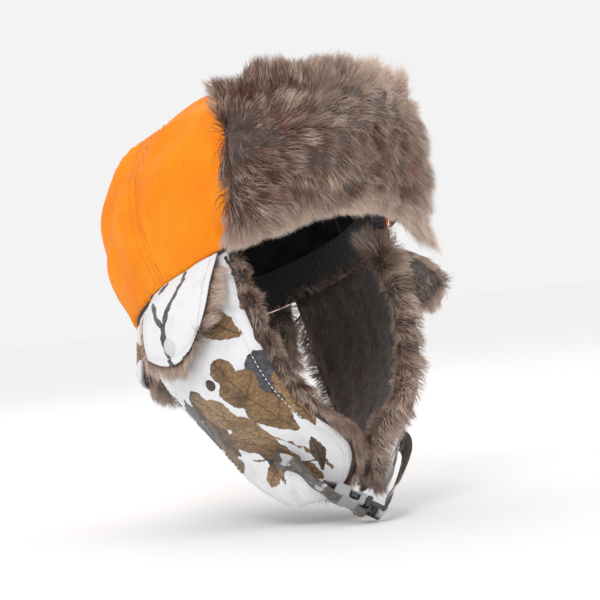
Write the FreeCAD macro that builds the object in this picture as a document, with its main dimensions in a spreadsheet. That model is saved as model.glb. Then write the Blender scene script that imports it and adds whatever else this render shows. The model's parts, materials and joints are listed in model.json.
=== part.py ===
import FreeCAD, Part
import math
import os
from FreeCAD import Vector

doc = FreeCAD.newDocument("TrapperHat")
sheet = doc.addObject("Spreadsheet::Sheet", "Sizes")

# Driving dimensions in millimetres and degrees. The hat faces -Y, its wearer's right is -X.
SIZES = [
    ("crown_half_width", 95.0),
    ("crown_half_depth", 116.0),
    ("crown_height", 130.0),
    ("crown_fullness", 2.75),
    ("rim_pull", 0.09),
    ("rim_pull_back", 0.05),
    ("rim_pitch", 19.0),
    ("rim_lift", 12.0),
    ("flap_drop", 160.0),
    ("flap_bulge", 0.15),
    ("shell_thickness", 1.2),
    ("wadding_thickness", 4.0),
    ("lining_thickness", 1.2),
    ("layer_gap", 0.2),
    ("body_gap", 0.8),
    ("seam_gap_angle", 0.15),
    ("sweatband_height", 28.0),
    ("sweatband_thickness", 1.6),
    ("brow_half_angle", 50.0),
    ("brow_height", 84.0),
    ("brow_fur_thickness", 17.0),
    ("brow_clearance", 3.0),
    ("flap_fur_thickness", 9.0),
    ("flap_front_angle", 55.0),
    ("flap_back_angle", 123.0),
    ("neck_drop", 42.0),
    ("neck_half_angle", 54.0),
    ("neck_fur_thickness", 9.0),
    ("cover_depth", 0.245),
    ("cover_fur_thickness", 7.0),
    ("cover_root_thickness", 1.5),
    ("cover_clearance", 0.8),
    ("cover_flare", 4.0),
    ("cover_rest_open", 45.0),
    ("hinge_standoff", 4.0),
    ("port_radius", 12.0),
    ("port_thickness", 0.6),
    ("snap_radius", 6.0),
    ("snap_height", 2.4),
    ("strap_width", 15.0),
    ("strap_thickness", 1.4),
    ("buckle_width", 21.0),
    ("buckle_thickness", 8.0),
    ("socket_length", 22.0),
    ("socket_wall", 1.7),
    ("notch_radius", 4.5),
    ("notch_place", 8.0),
    ("plug_base", 4.0),
    ("plug_insert", 13.0),
    ("buckle_clearance", 0.4),
    ("bar_size", 1.8),
    ("bar_thickness", 2.4),
    ("window_size", 3.3),
    ("arm_thickness", 3.2),
    ("arm_width", 1.8),
    ("arm_place", 4.6),
    ("button_radius", 3.6),
    ("strap_gap", 1.0),
    ("strap_stand", 2.8),
    ("strap_leave_stand", 4.0),
]


def fill_sheet():
    """Write every driving dimension as text with its alias."""
    for row, (name, value) in enumerate(SIZES, start=1):
        sheet.set("A%d" % row, name)
        sheet.set("B%d" % row, str(value))
        sheet.setAlias("B%d" % row, name)
    doc.recompute()


fill_sheet()
SIZE = {name: float(sheet.get(name)) for name, _ in SIZES}
PITCH = math.radians(SIZE["rim_pitch"])
WIDTH = SIZE["crown_half_width"]
DEPTH = SIZE["crown_half_depth"]
HEIGHT = SIZE["crown_height"]
DROP = SIZE["flap_drop"]
SIDES = (("right", 1), ("left", -1))


# ---------------------------------------------------------------- shape of the crown
def pitched(across, along, up):
    """A point of the level crown, tipped back by the rim's pitch."""
    y = along * math.cos(PITCH) + up * math.sin(PITCH)
    z = up * math.cos(PITCH) - along * math.sin(PITCH)
    return Vector(across, y, z)


def rim_height(angle):
    """How far the rim rises over the brow, measured from the level rim."""
    return SIZE["rim_lift"] * max(math.cos(angle), 0.0) ** 2


def crown_point(angle, rise, offset=0.0):
    """Crown surface: angle is 0 at the brow and 90 degrees over the right ear."""
    width, depth, height = WIDTH + offset, DEPTH + offset, HEIGHT + offset
    power = SIZE["crown_fullness"]
    share = min(rise / height, 1.0)
    radius = (1.0 - share ** power) ** (1.0 / power)
    back = max(-math.cos(angle), 0.0)
    pull = SIZE["rim_pull"] + (SIZE["rim_pull_back"] - SIZE["rim_pull"]) * back
    radius *= 1.0 - pull * max(1.0 - share / 0.42, 0.0) ** 1.6
    return pitched(-width * radius * math.sin(angle), -depth * radius * math.cos(angle), rise)


def rim_point(angle, offset=0.0):
    """A point of the rim, pushed outwards by offset."""
    return crown_point(angle, rim_height(angle), offset)


def crown_layer(offset):
    """The crown surface at one depth in the cloth, over (angle, share of the way up)."""
    def surface(angle, share):
        top = HEIGHT + offset
        start = rim_height(angle)
        power = SIZE["crown_fullness"]
        lean = math.asin(min((start / top) ** (power / 2), 1.0))
        lean += (math.pi / 2 - 0.001 - lean) * share ** 1.25
        rise = top * math.sin(lean) ** (2 / power)
        return crown_point(angle, max(rise, start), offset)
    return surface


# ---------------------------------------------------------------- shape of the ear flaps
def flap_edge(points, share):
    """Catmull-Rom curve through points given as shares of the crown and of the flap's drop."""
    count = len(points) - 1
    place = min(max(share, 0.0), 1.0) * count
    index = min(int(place), count - 1)
    f = place - index
    whole = [Vector(x * WIDTH, y * DEPTH, z * DROP) for x, y, z in points]
    ends = [whole[0] * 2 - whole[1]] + whole + [whole[-1] * 2 - whole[-2]]
    p0, p1, p2, p3 = ends[index:index + 4]
    return (p1 * 2 + (p2 - p0) * f + (p0 * 2 - p1 * 5 + p2 * 4 - p3) * f ** 2
            + (p1 * 3 - p0 - p2 * 3 + p3) * f ** 3) * 0.5


FLAP_FRONT = [(-0.83, -0.53, 0.17), (-0.82, -0.62, -0.04), (-0.76, -0.71, -0.25),
              (-0.65, -0.80, -0.45), (-0.46, -0.88, -0.61), (-0.25, -0.905, -0.71),
              (-0.16, -0.87, -0.81), (-0.19, -0.78, -0.92), (-0.32, -0.62, -1.0)]
FLAP_BACK = [(-0.80, 0.53, -0.15), (-0.80, 0.43, -0.275), (-0.76, 0.33, -0.40),
             (-0.71, 0.21, -0.525), (-0.65, 0.05, -0.65), (-0.61, -0.12, -0.775),
             (-0.55, -0.28, -0.895), (-0.44, -0.45, -0.98), (-0.32, -0.62, -1.0)]


def flap_angle(u):
    """Angle round the rim of the flap's top edge, from its back corner to its front one."""
    back, front = SIZE["flap_back_angle"], SIZE["flap_front_angle"]
    return math.radians(back + (front - back) * u)


def flap_middle(u, w):
    """The flap between its two edges, bowed outwards."""
    front = flap_edge(FLAP_FRONT, w)
    back = flap_edge(FLAP_BACK, w)
    chord = front - back
    out = chord.cross(Vector(0, 0, 1))
    out.normalize()
    if out.x > 0:
        out = out * -1
    return back + chord * u + out * (SIZE["flap_bulge"] * chord.Length * 4 * u * (1 - u))


def flap_point(u, w):
    """Outer surface of the right flap: w is 0 at the rim and 1 at the chin tip."""
    fade = max(1.0 - w / 0.28, 0.0) ** 2
    point = flap_middle(u, w)
    if fade > 0:
        top = rim_point(flap_angle(u), 0.0) - pitched(0, 0, SIZE["body_gap"])
        point = point + (top - flap_middle(u, 0.0)) * fade
    return point


def normal_of(surface, u, w, outward):
    """Unit normal of surface(u, w) on the side that the outward direction names."""
    step = 0.01
    along = surface(u + step, w) - surface(u - step, w)
    low, high = max(w - step, 0.0), min(w + step, 1.0)
    normal = along.cross(surface(u, high) - surface(u, low))
    normal.normalize()
    return normal if normal.dot(outward) > 0 else normal * -1


def offset_surface(surface, distance, outward):
    """The surface moved along its normal, positive towards the outward direction."""
    def moved(u, w):
        return surface(u, w) + normal_of(surface, u, w, outward) * distance
    return moved


# ---------------------------------------------------------------- solids from two skins
def spread(low, high, count):
    """Evenly spaced values with both ends."""
    return [low + (high - low) * i / (count - 1) for i in range(count)]


def skin(surface, us, ws):
    """One smooth face through the surface's points."""
    patch = Part.BSplineSurface()
    patch.interpolate([[surface(u, w) for w in ws] for u in us])
    return patch.toShape()


def slab(outer, inner, us, ws):
    """Closed solid between two skins that have the same grid."""
    top, bottom = skin(outer, us, ws), skin(inner, us, ws)
    sides = [Part.makeRuledSurface(a, b, 1) for a, b in zip(top.Edges, bottom.Edges)]
    shell = Part.makeShell([top, bottom] + sides)
    shell.sewShape()
    solid = Part.makeSolid(shell)
    if solid.Volume < 0:
        solid.reverse()
    return solid


def mirrored(shape):
    """The same shape on the wearer's other side."""
    return shape.mirror(Vector(0, 0, 0), Vector(1, 0, 0))


def add_shape(name, shape, placement=None):
    """A document object that holds one cloth solid."""
    piece = doc.addObject("Part::Feature", name)
    piece.Label = name
    piece.Shape = shape
    piece.Placement = placement or FreeCAD.Placement()
    KEPT.append(piece)
    return piece


KEPT = []


# ---------------------------------------------------------------- crown
def build_crown():
    """Four gores, each with its shell, wadding and quilted lining."""
    gap = SIZE["layer_gap"]
    depths = []
    start = 0.0
    for name, thickness in (("shell", "shell_thickness"), ("wadding", "wadding_thickness"),
                            ("lining", "lining_thickness")):
        depths.append((name, start, start - SIZE[thickness]))
        start -= SIZE[thickness] + gap
    quarters = ("front_right", "back_right", "back_left", "front_left")
    seam = SIZE["seam_gap_angle"]
    for index, quarter in enumerate(quarters):
        angles = spread(math.radians(90 * index + seam), math.radians(90 * index + 90 - seam), 9)
        for name, outer, inner in depths:
            solid = slab(crown_layer(outer), crown_layer(inner), angles, spread(0, 1, 12))
            add_shape("crown_%s_%s" % (name, quarter), solid)
    return start


def build_sweatband(outer_offset):
    """Soft band sewn inside the rim, all the way round."""
    thickness = SIZE["sweatband_thickness"]
    height = SIZE["sweatband_height"]
    sections = []
    for angle in [math.radians(10 * k) for k in range(36)]:
        low = rim_height(angle) + 0.5
        corners = [crown_point(angle, low, outer_offset),
                   crown_point(angle, low + height, outer_offset),
                   crown_point(angle, low + height, outer_offset - thickness),
                   crown_point(angle, low, outer_offset - thickness)]
        sections.append(Part.makePolygon(corners + corners[:1]))
    band = Part.makeLoft(sections, True, False, True)
    if band.Volume < 0:
        band.reverse()
    add_shape("sweatband", band)


# ---------------------------------------------------------------- brow flap
def brow_surface(distance):
    """The turned-up brow flap, standing off the crown by distance."""
    def surface(angle, v):
        out = Vector(-math.sin(angle), -math.cos(angle), 0)
        base = rim_point(angle, 0.0)
        height = SIZE["brow_height"] * (1.0 + 0.22 * math.sin(angle) ** 2)
        lean = 3.0 * math.sin(math.pi * v)
        return base + Vector(0, -4.0 * v, height * v) + out * (distance + lean)
    return surface


def build_brow():
    """Backing cloth and fur of the brow flap."""
    start = SIZE["brow_clearance"]
    backing = start + SIZE["shell_thickness"]
    fur = backing + SIZE["layer_gap"]
    half = math.radians(SIZE["brow_half_angle"])
    angles = spread(-half, half, 15)
    heights = spread(0, 1, 7)
    add_shape("brow_flap_backing", slab(brow_surface(backing), brow_surface(start), angles, heights))
    deep = brow_surface(fur + SIZE["brow_fur_thickness"])
    add_shape("brow_flap_fur", slab(deep, brow_surface(fur), angles, heights))


# ---------------------------------------------------------------- ear flaps
RIGHT = Vector(-1, 0, 0)


def flap_layers():
    """Shell, wadding and fur of a flap: name, outer distance, inner distance and margin."""
    gap = SIZE["layer_gap"]
    first = -SIZE["shell_thickness"]
    second = first - gap - SIZE["wadding_thickness"]
    third = second - gap - SIZE["flap_fur_thickness"]
    return (("shell", 0.0, first), ("wadding", first - gap, second), ("fur", second - gap, third))


def build_ear_flaps():
    """Both ear flaps, the left one a mirror of the right."""
    us, ws = spread(0, 1, 13), spread(0, 0.975, 21)
    for name, outer, inner in flap_layers():
        solid = slab(offset_surface(flap_point, outer, RIGHT),
                     offset_surface(flap_point, inner, RIGHT), us, ws)
        add_shape("right_flap_" + name, solid)
        add_shape("left_flap_" + name, mirrored(solid))


# ---------------------------------------------------------------- ear covers
def cover_surface(distance, fur_share=1.0):
    """The tab that hangs from the rim over the ear, standing off the flap by distance.

    Its fur is thin where it is sewn in, so fur_share of the missing pile is taken off there.
    """
    def surface(a, v):
        across = 2 * a - 1
        middle = 0.69 - 0.15 * v
        half = 0.275 * (1 - 0.22 * v ** 3)
        u = middle + half * across
        w = SIZE["cover_depth"] * v * (1 - 0.20 * v * across ** 2)
        thin = (SIZE["cover_fur_thickness"] - SIZE["cover_root_thickness"])
        thin *= fur_share * max(1.0 - v / 0.4, 0.0) ** 1.5
        stand = distance + SIZE["cover_flare"] * v - thin
        return flap_point(u, w) + normal_of(flap_point, u, w, RIGHT) * stand
    return surface


def hinge_line():
    """A point of the rim's outer face over the right ear, and its direction."""
    middle = rim_point(math.radians(90), SIZE["hinge_standoff"])
    return Vector(middle.x, 0, 0), Vector(0, math.cos(PITCH), -math.sin(PITCH))


def left_open():
    """The turn about the left rim that stands a closed left cover open."""
    point, axis = hinge_line()
    turn = FreeCAD.Rotation(axis, -SIZE["cover_rest_open"])
    return FreeCAD.Placement(Vector(0, 0, 0), turn, Vector(-point.x, point.y, point.z))


def add_cover_piece(name, solid):
    """The right piece hangs closed, the left one stands open at rest."""
    add_shape("right_cover_" + name, solid)
    add_shape("left_cover_" + name, mirrored(solid), left_open())


def build_covers():
    """Shell and fur of the two ear covers."""
    low = SIZE["cover_clearance"]
    fur = low + SIZE["cover_fur_thickness"]
    shell = fur + SIZE["layer_gap"]
    us, vs = spread(0, 1, 9), spread(0.02, 1, 9)
    add_cover_piece("fur", slab(cover_surface(fur), cover_surface(low, 0.0), us, vs))
    outer = cover_surface(shell + SIZE["shell_thickness"])
    add_cover_piece("shell", slab(outer, cover_surface(shell), us, vs))


# ---------------------------------------------------------------- neck curtain
def neck_point(u, w):
    """Outer surface of the curtain that hangs behind the neck."""
    half = SIZE["neck_half_angle"]
    angle = math.radians(180 - half + 2 * half * u)
    out = Vector(-math.sin(angle), -math.cos(angle), 0)
    top = rim_point(angle, 0.0) - pitched(0, 0, SIZE["body_gap"])
    return top + Vector(0, 0, -SIZE["neck_drop"] * w) + out * (5.0 * w)


def build_neck():
    """Shell, wadding and fur of the neck curtain."""
    gap = SIZE["layer_gap"]
    first = -SIZE["shell_thickness"]
    second = first - gap - SIZE["wadding_thickness"]
    third = second - gap - SIZE["neck_fur_thickness"]
    back = Vector(0, 1, 0)
    us, ws = spread(0, 1, 15), spread(0, 1, 5)
    for name, outer, inner in (("shell", 0.0, first), ("wadding", first - gap, second),
                               ("fur", second - gap, third)):
        solid = slab(offset_surface(neck_point, outer, back),
                     offset_surface(neck_point, inner, back), us, ws)
        add_shape("neck_flap_" + name, solid)


# ---------------------------------------------------------------- snaps and ear ports
def facing(point, normal):
    """Placement that stands a piece's own Z on a surface point."""
    return FreeCAD.Placement(point, FreeCAD.Rotation(Vector(0, 0, 1), normal))


def mirror_placement(placement):
    """The same place on the left side."""
    base = placement.Base
    normal = placement.Rotation.multVec(Vector(0, 0, 1))
    return facing(Vector(-base.x, base.y, base.z), Vector(-normal.x, normal.y, normal.z))


def round_piece(name, radius, height, rounding, placement):
    """A disc bound to the sheet, with its outer rim rounded."""
    disc = doc.addObject("Part::Cylinder", name + "_disc")
    disc.setExpression("Radius", radius)
    disc.setExpression("Height", height)
    doc.recompute()
    fillet = doc.addObject("Part::Fillet", name)
    fillet.Base = disc
    tops = [i + 1 for i, edge in enumerate(disc.Shape.Edges)
            if edge.BoundBox.ZMin > disc.Height.Value * 0.9]
    fillet.Edges = [(i, rounding, rounding) for i in tops]
    fillet.Label = name
    fillet.Placement = placement
    KEPT.append(fillet)
    return fillet


SNAP_PLACE = (0.60, 0.335)
PORT_PLACE = (0.60, 0.165)
TIP_PLACE = (0.50, 0.80)


def build_snaps_and_ports():
    """Stud and ear port on each flap, cap and socket on each cover."""
    stud_at = facing(flap_point(*SNAP_PLACE) + normal_of(flap_point, *SNAP_PLACE, RIGHT) * 0.1,
                     normal_of(flap_point, *SNAP_PLACE, RIGHT))
    port_normal = normal_of(flap_point, *PORT_PLACE, RIGHT)
    port_at = facing(flap_point(*PORT_PLACE) + port_normal * 0.35, port_normal)
    low = SIZE["cover_clearance"]
    outer = cover_surface(low + SIZE["cover_fur_thickness"] + SIZE["layer_gap"]
                          + SIZE["shell_thickness"] + 0.15)
    inner = cover_surface(low - 0.15 - 0.012 * SIZE["snap_radius"] ** 2, 0.0)
    cap_normal = normal_of(outer, *TIP_PLACE, RIGHT)
    cap_at = facing(outer(*TIP_PLACE), cap_normal)
    socket_at = facing(inner(*TIP_PLACE), cap_normal * -1)
    wide, high = "Sizes.snap_radius", "Sizes.snap_height"
    for side, sign in SIDES:
        place = [stud_at, port_at, cap_at, socket_at]
        if sign < 0:
            place = [mirror_placement(at) for at in place]
            place[2:] = [left_open().multiply(at) for at in place[2:]]
        round_piece(side + "_snap_stud", wide, high, 1.5, place[0])
        round_piece(side + "_ear_port", "Sizes.port_radius", "Sizes.port_thickness", 0.2, place[1])
        round_piece(side + "_cover_snap_cap", wide, high, 1.5, place[2])
        round_piece(side + "_cover_snap_socket", wide + " * 0.8", "0.9", 0.3, place[3])


# ---------------------------------------------------------------- chin strap and buckle
def buckle_frame():
    """Origin at the socket's mouth, X towards the left strap, Z out of the front face."""
    along = Vector(0.70, -0.50, -0.51)
    along.normalize()
    width = Vector(-0.085, -0.963, 0.254)
    width = width - along * width.dot(along)
    width.normalize()
    origin = Vector(-0.175 * WIDTH, -0.93 * DEPTH, -0.995 * DROP)
    return origin, along, width, along.cross(width)


ORIGIN, ALONG, ACROSS, OUT = buckle_frame()
BUCKLE = FreeCAD.Placement(ORIGIN, FreeCAD.Rotation(ALONG, ACROSS, OUT, "XYZ"))


def in_buckle(along, out):
    """A point on the buckle's middle plane, in the hat's frame."""
    return BUCKLE.multVec(Vector(along, 0, out))


def bound_box(name, lengths, base):
    """A box whose three lengths and corner are expressions of the sheet."""
    box = doc.addObject("Part::Box", name)
    for key, text in zip(("Length", "Width", "Height"), lengths):
        box.setExpression(key, text)
    for key, text in zip("xyz", base):
        box.setExpression("Placement.Base." + key, text)
    return box


def bound_post(name, radius, height, base):
    """An upright cylinder whose sizes and foot are expressions of the sheet."""
    post = doc.addObject("Part::Cylinder", name)
    post.setExpression("Radius", radius)
    post.setExpression("Height", height)
    for key, text in zip("xyz", base):
        post.setExpression("Placement.Base." + key, text)
    return post


def joined(name, pieces):
    """The pieces as one solid."""
    fuse = doc.addObject("Part::MultiFuse", name)
    fuse.Shapes = pieces
    return fuse


def cut(name, base, tools):
    """The base with the tools taken away."""
    result = doc.addObject("Part::Cut", name)
    result.Base = base
    result.Tool = tools[0] if len(tools) == 1 else joined(name + "_tools", tools)
    return result


def rounded(name, base, radius):
    """The base with all its edges rounded."""
    doc.recompute()
    fillet = doc.addObject("Part::Fillet", name)
    fillet.Base = base
    fillet.Edges = [(i + 1, radius, radius) for i in range(len(base.Shape.Edges))]
    return fillet


def keep_in_buckle(piece, label):
    """Stand a finished buckle piece in its place."""
    piece.Label = label
    piece.Placement = BUCKLE
    KEPT.append(piece)


HALF_WIDTH = "Sizes.buckle_width / 2"
HALF_THICK = "Sizes.buckle_thickness / 2"


def build_socket():
    """Female half: strap bar, slot, hollow body and a notch for each button."""
    block = bound_box("socket_block", ["Sizes.socket_length", "Sizes.buckle_width",
                                       "Sizes.buckle_thickness"],
                      ["-Sizes.socket_length", "-" + HALF_WIDTH, "-" + HALF_THICK])
    body = rounded("socket_round", block, 1.4)
    wall = "Sizes.socket_wall"
    cavity = bound_box("socket_cavity", ["Sizes.plug_insert + 2.0",
                                         "Sizes.buckle_width - 2 * " + wall,
                                         "Sizes.buckle_thickness - 2 * " + wall],
                       ["-Sizes.plug_insert - 0.6", "-(%s - %s)" % (HALF_WIDTH, wall),
                        "-(%s - %s)" % (HALF_THICK, wall)])
    slot = bound_box("socket_slot", ["4.0", "Sizes.strap_width + 1.2", "Sizes.buckle_thickness"],
                     ["-Sizes.socket_length + 2.6", "-Sizes.strap_width / 2 - 0.6",
                      "-" + HALF_THICK])
    shaves = []
    for name, foot in (("upper", "1.6"), ("lower", "-1.6 - Sizes.buckle_thickness")):
        shaves.append(bound_box("socket_shave_" + name,
                                ["4.6", "Sizes.strap_width + 1.2", "Sizes.buckle_thickness"],
                                ["-Sizes.socket_length - 1.0", "-Sizes.strap_width / 2 - 0.6",
                                 foot]))
    notches = []
    for name, sign in (("front", ""), ("back", "-")):
        place = "%s(%s + 1.0)" % (sign, HALF_WIDTH)
        notches.append(bound_post("socket_notch_" + name, "Sizes.notch_radius",
                                  "Sizes.buckle_thickness + 2.0",
                                  ["-Sizes.notch_place", place, "-%s - 1.0" % HALF_THICK]))
    keep_in_buckle(cut("socket", body, [cavity, slot] + shaves + notches), "buckle_socket")


def ladder_end():
    """How far the plug reaches beyond the socket's mouth."""
    return (SIZE["buckle_clearance"] + SIZE["plug_base"] + 2 * SIZE["window_size"]
            + 2 * SIZE["bar_size"])


def build_plug():
    """Male half: shoulder, guide pin and a ladder of two bars."""
    start = "Sizes.buckle_clearance"
    base = bound_box("plug_base", ["Sizes.plug_base", "Sizes.buckle_width",
                                   "Sizes.buckle_thickness"],
                     [start, "-" + HALF_WIDTH, "-" + HALF_THICK])
    shoulder = rounded("plug_shoulder", base, 1.2)
    pin = bound_box("plug_pin", ["Sizes.plug_insert", "2.8", "2.4"],
                    ["%s - Sizes.plug_insert + 1.5" % start, "-1.4", "-1.2"])
    frame = bound_box("plug_frame", ["2 * (Sizes.window_size + Sizes.bar_size) + 1.0",
                                     "Sizes.buckle_width - 1.0", "Sizes.bar_thickness"],
                      [start + " + Sizes.plug_base - 1.0", "-%s + 0.5" % HALF_WIDTH,
                       "-Sizes.bar_thickness / 2"])
    windows = []
    for index in range(2):
        place = "%s + Sizes.plug_base + %d * (Sizes.window_size + Sizes.bar_size)" % (start, index)
        windows.append(bound_box("plug_window_%d" % index,
                                 ["Sizes.window_size", "Sizes.strap_width + 1.0",
                                  "Sizes.buckle_thickness"],
                                 [place, "-Sizes.strap_width / 2 - 0.5", "-" + HALF_THICK]))
    ladder = cut("plug_ladder", frame, windows)
    keep_in_buckle(joined("plug", [shoulder, pin, ladder]), "buckle_plug")


def build_arm(name, sign):
    """One springy arm with its thumb button, on one side of the guide pin."""
    thick = "Sizes.arm_thickness"
    foot = "-%s / 2" % thick
    low = "Sizes.arm_place" if sign > 0 else "-Sizes.arm_place - Sizes.arm_width"
    bar = bound_box("arm_bar_" + name, ["Sizes.plug_insert", "Sizes.arm_width", thick],
                    ["Sizes.buckle_clearance - Sizes.plug_insert - 0.1", low, foot])
    middle = "(Sizes.arm_place + Sizes.arm_width)"
    button = bound_post("arm_button_" + name, "Sizes.button_radius", thick,
                        ["-Sizes.notch_place", middle if sign > 0 else "-" + middle, foot])
    side = "Sizes.arm_place" if sign > 0 else "-Sizes.arm_place - 8.0"
    limit = bound_box("arm_limit_" + name, ["12.0", "8.0", thick],
                      ["-Sizes.notch_place - 6.0", side, foot])
    head = doc.addObject("Part::Common", "arm_head_" + name)
    head.Base = button
    head.Tool = limit
    keep_in_buckle(joined("arm_" + name, [bar, head]), "release_arm_" + name)


def ribbon(points, widths, low=0.0, high=1.0, count=60):
    """Webbing along a smooth path, its width turned from low to high, shares of the path."""
    curve = Part.BSplineCurve()
    curve.interpolate(points)
    first, last = curve.FirstParameter, curve.LastParameter
    half, thick = SIZE["strap_width"] / 2, SIZE["strap_thickness"] / 2

    def place(side):
        def surface(a, v):
            at = first + (last - first) * v
            tangent = Vector(*curve.tangent(at)[0])
            turn = min(max((v - low) / (high - low), 0.0), 1.0)
            width = widths[0] * (1 - turn) + widths[1] * turn
            width = width - tangent * width.dot(tangent)
            width.normalize()
            up = tangent.cross(width)
            return curve.value(at) + width * (half * (2 * a - 1)) + up * (thick * side)
        return surface
    return slab(place(1), place(-1), [0.0, 0.5, 1.0], spread(0, 1, count))


ROOT_PLACE = (0.50, 0.65)
LEAVE_PLACE = (0.64, 0.715)


def strap_root():
    """Where the strap starts on the right flap, where it leaves it, and its width there.

    It stands off by half its width times its tilt, so that its edges clear the shell.
    """
    normal = normal_of(flap_point, *ROOT_PLACE, RIGHT)
    run = flap_point(*LEAVE_PLACE) - flap_point(*ROOT_PLACE)
    flat = normal.cross(run)
    flat.normalize()
    flat = flat if flat.dot(ACROSS) > 0 else flat * -1
    width = flat * 0.6 + ACROSS * 0.4
    width.normalize()
    stand = SIZE["strap_stand"] + abs(width.dot(normal)) * SIZE["strap_width"] / 2
    leave = normal_of(flap_point, *LEAVE_PLACE, RIGHT) * (stand + SIZE["strap_leave_stand"])
    return (flap_point(*ROOT_PLACE) + normal * stand, flap_point(*LEAVE_PLACE) + leave, width)


def to_left(vector):
    """The same point or direction on the wearer's other side."""
    return Vector(-vector.x, vector.y, vector.z)


STRAP_ROOT, STRAP_LEAVE, STRAP_ACROSS = strap_root()


def build_straps():
    """Right strap round the socket's bar, loop round the ladder, left strap."""
    length = SIZE["socket_length"]
    path = [STRAP_ROOT, STRAP_LEAVE, in_buckle(-length - 11, 0.8)]
    for along, out in ((-9, 0.95), (-2.5, 2.3), (1.3, 2.6), (3.9, 0.0), (1.3, -2.6),
                       (-2.5, -2.3), (-9, -0.95)):
        path.append(in_buckle(along - length, out))
    add_shape("right_chin_strap", ribbon(path, [STRAP_ACROSS, ACROSS], 0.0, 0.45))

    end = ladder_end()
    bar, window = SIZE["bar_size"], SIZE["window_size"]
    over = SIZE["bar_thickness"] / 2 + 0.95
    split = 6.0
    face = SIZE["buckle_thickness"] / 2 + 0.95
    weave = [(end + 1.0, -split), (end + 1.0, -3.0), (end + 0.9, 0.0), (end - bar / 2, over),
             (end - bar - window / 2, 0.0), (end - 1.5 * bar - window, -over),
             (end - 2 * bar - 1.5 * window, 0.0), (SIZE["plug_base"] - 0.3, face),
             (-3.0, face + 0.3)]
    add_shape("left_strap_loop", ribbon([in_buckle(*p) for p in weave], [ACROSS, ACROSS]))

    path = [in_buckle(end + 1.0, -split - SIZE["strap_gap"]),
            in_buckle(end + 1.0, -split - SIZE["strap_gap"] - 2.5),
            Vector(0.38 * WIDTH, -0.76 * DEPTH, -0.92 * DROP),
            to_left(STRAP_LEAVE), to_left(STRAP_ROOT)]
    add_shape("left_chin_strap", ribbon(path, [ACROSS, to_left(STRAP_ACROSS)], 0.2, 1.0))


fill = build_crown()
build_sweatband(fill - 0.2)
build_brow()
build_ear_flaps()
build_covers()
build_neck()
build_snaps_and_ports()
build_socket()
build_plug()
build_arm("front", 1)
build_arm("back", -1)
build_straps()

doc.recompute()
for piece in KEPT:
    if "Invalid" in piece.State or "Error" in piece.State:
        raise RuntimeError(piece.Label + " did not compute")
    if piece.Shape.isNull() or not piece.Shape.isValid():
        raise RuntimeError(piece.Label + " has no valid shape")

os.makedirs("parts", exist_ok=True)
for piece in KEPT:
    piece.Shape.exportStep("parts/%s.step" % piece.Label)
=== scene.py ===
"""Looks of a winter trapper hat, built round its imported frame.

Lengths are metres in the frame's own axes: +Z up on the wearer's head, the face looks along -Y.
Every surface is a function of two parameters, worked out on whole numpy grids.
"""
from __future__ import annotations

import json
import logging
import math
from dataclasses import dataclass, replace
from enum import Enum
from typing import Callable, Sequence

import bpy
import numpy as np
from mathutils import Matrix, Vector

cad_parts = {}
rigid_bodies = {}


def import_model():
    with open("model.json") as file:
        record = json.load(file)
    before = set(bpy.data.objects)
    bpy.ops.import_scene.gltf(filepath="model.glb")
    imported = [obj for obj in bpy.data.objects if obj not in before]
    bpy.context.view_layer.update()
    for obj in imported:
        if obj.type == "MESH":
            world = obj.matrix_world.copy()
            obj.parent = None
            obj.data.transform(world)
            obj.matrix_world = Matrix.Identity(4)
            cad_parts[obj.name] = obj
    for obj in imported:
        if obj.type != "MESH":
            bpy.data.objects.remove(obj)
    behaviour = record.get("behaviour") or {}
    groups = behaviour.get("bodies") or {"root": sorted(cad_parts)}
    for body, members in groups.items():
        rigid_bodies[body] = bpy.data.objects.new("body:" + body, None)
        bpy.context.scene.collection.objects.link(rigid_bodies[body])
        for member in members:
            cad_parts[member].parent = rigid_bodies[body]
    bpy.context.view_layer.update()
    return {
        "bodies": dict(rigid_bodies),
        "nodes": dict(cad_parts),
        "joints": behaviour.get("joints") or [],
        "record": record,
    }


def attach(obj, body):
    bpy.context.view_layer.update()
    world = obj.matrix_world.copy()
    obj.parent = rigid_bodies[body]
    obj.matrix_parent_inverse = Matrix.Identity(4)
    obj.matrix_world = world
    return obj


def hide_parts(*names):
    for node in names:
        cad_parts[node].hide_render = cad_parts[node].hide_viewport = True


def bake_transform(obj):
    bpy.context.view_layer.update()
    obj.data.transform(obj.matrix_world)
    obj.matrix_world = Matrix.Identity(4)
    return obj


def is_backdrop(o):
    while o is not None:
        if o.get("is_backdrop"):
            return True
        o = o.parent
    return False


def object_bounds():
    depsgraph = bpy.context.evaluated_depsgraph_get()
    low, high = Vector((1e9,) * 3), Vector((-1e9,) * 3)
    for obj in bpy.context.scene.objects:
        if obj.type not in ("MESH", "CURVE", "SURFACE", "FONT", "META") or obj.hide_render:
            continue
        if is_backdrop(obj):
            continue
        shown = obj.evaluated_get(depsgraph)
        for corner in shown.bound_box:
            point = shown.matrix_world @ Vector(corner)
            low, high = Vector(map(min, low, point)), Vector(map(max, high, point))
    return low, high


LOG = logging.getLogger("trapper_hat")
Array = np.ndarray
Surface = Callable[[Array, Array], Array]
STRANDS_PER_PIECE = 11500


class Side(Enum):
    """The wearer's side; the value is the sign that turns a right-hand point into this side's."""

    RIGHT = 1
    LEFT = -1

    @property
    def label(self) -> str:
        """The side's name as the frame's nodes spell it."""
        return self.name.lower()


# ---- form
def unit(vectors: Array) -> Array:
    """The vectors divided by their lengths."""
    return vectors / np.maximum(np.linalg.norm(vectors, axis=-1, keepdims=True), 1e-12)


def around(count: int) -> Array:
    """Angles of one full turn, without the last."""
    return np.linspace(0, 2 * np.pi, count + 1)[:-1]


def rounded(wave: Array, power: float) -> Array:
    """A sine or cosine made square-shouldered: its size raised to a power, its sign kept."""
    return np.sign(wave) * np.abs(wave) ** power


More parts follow.
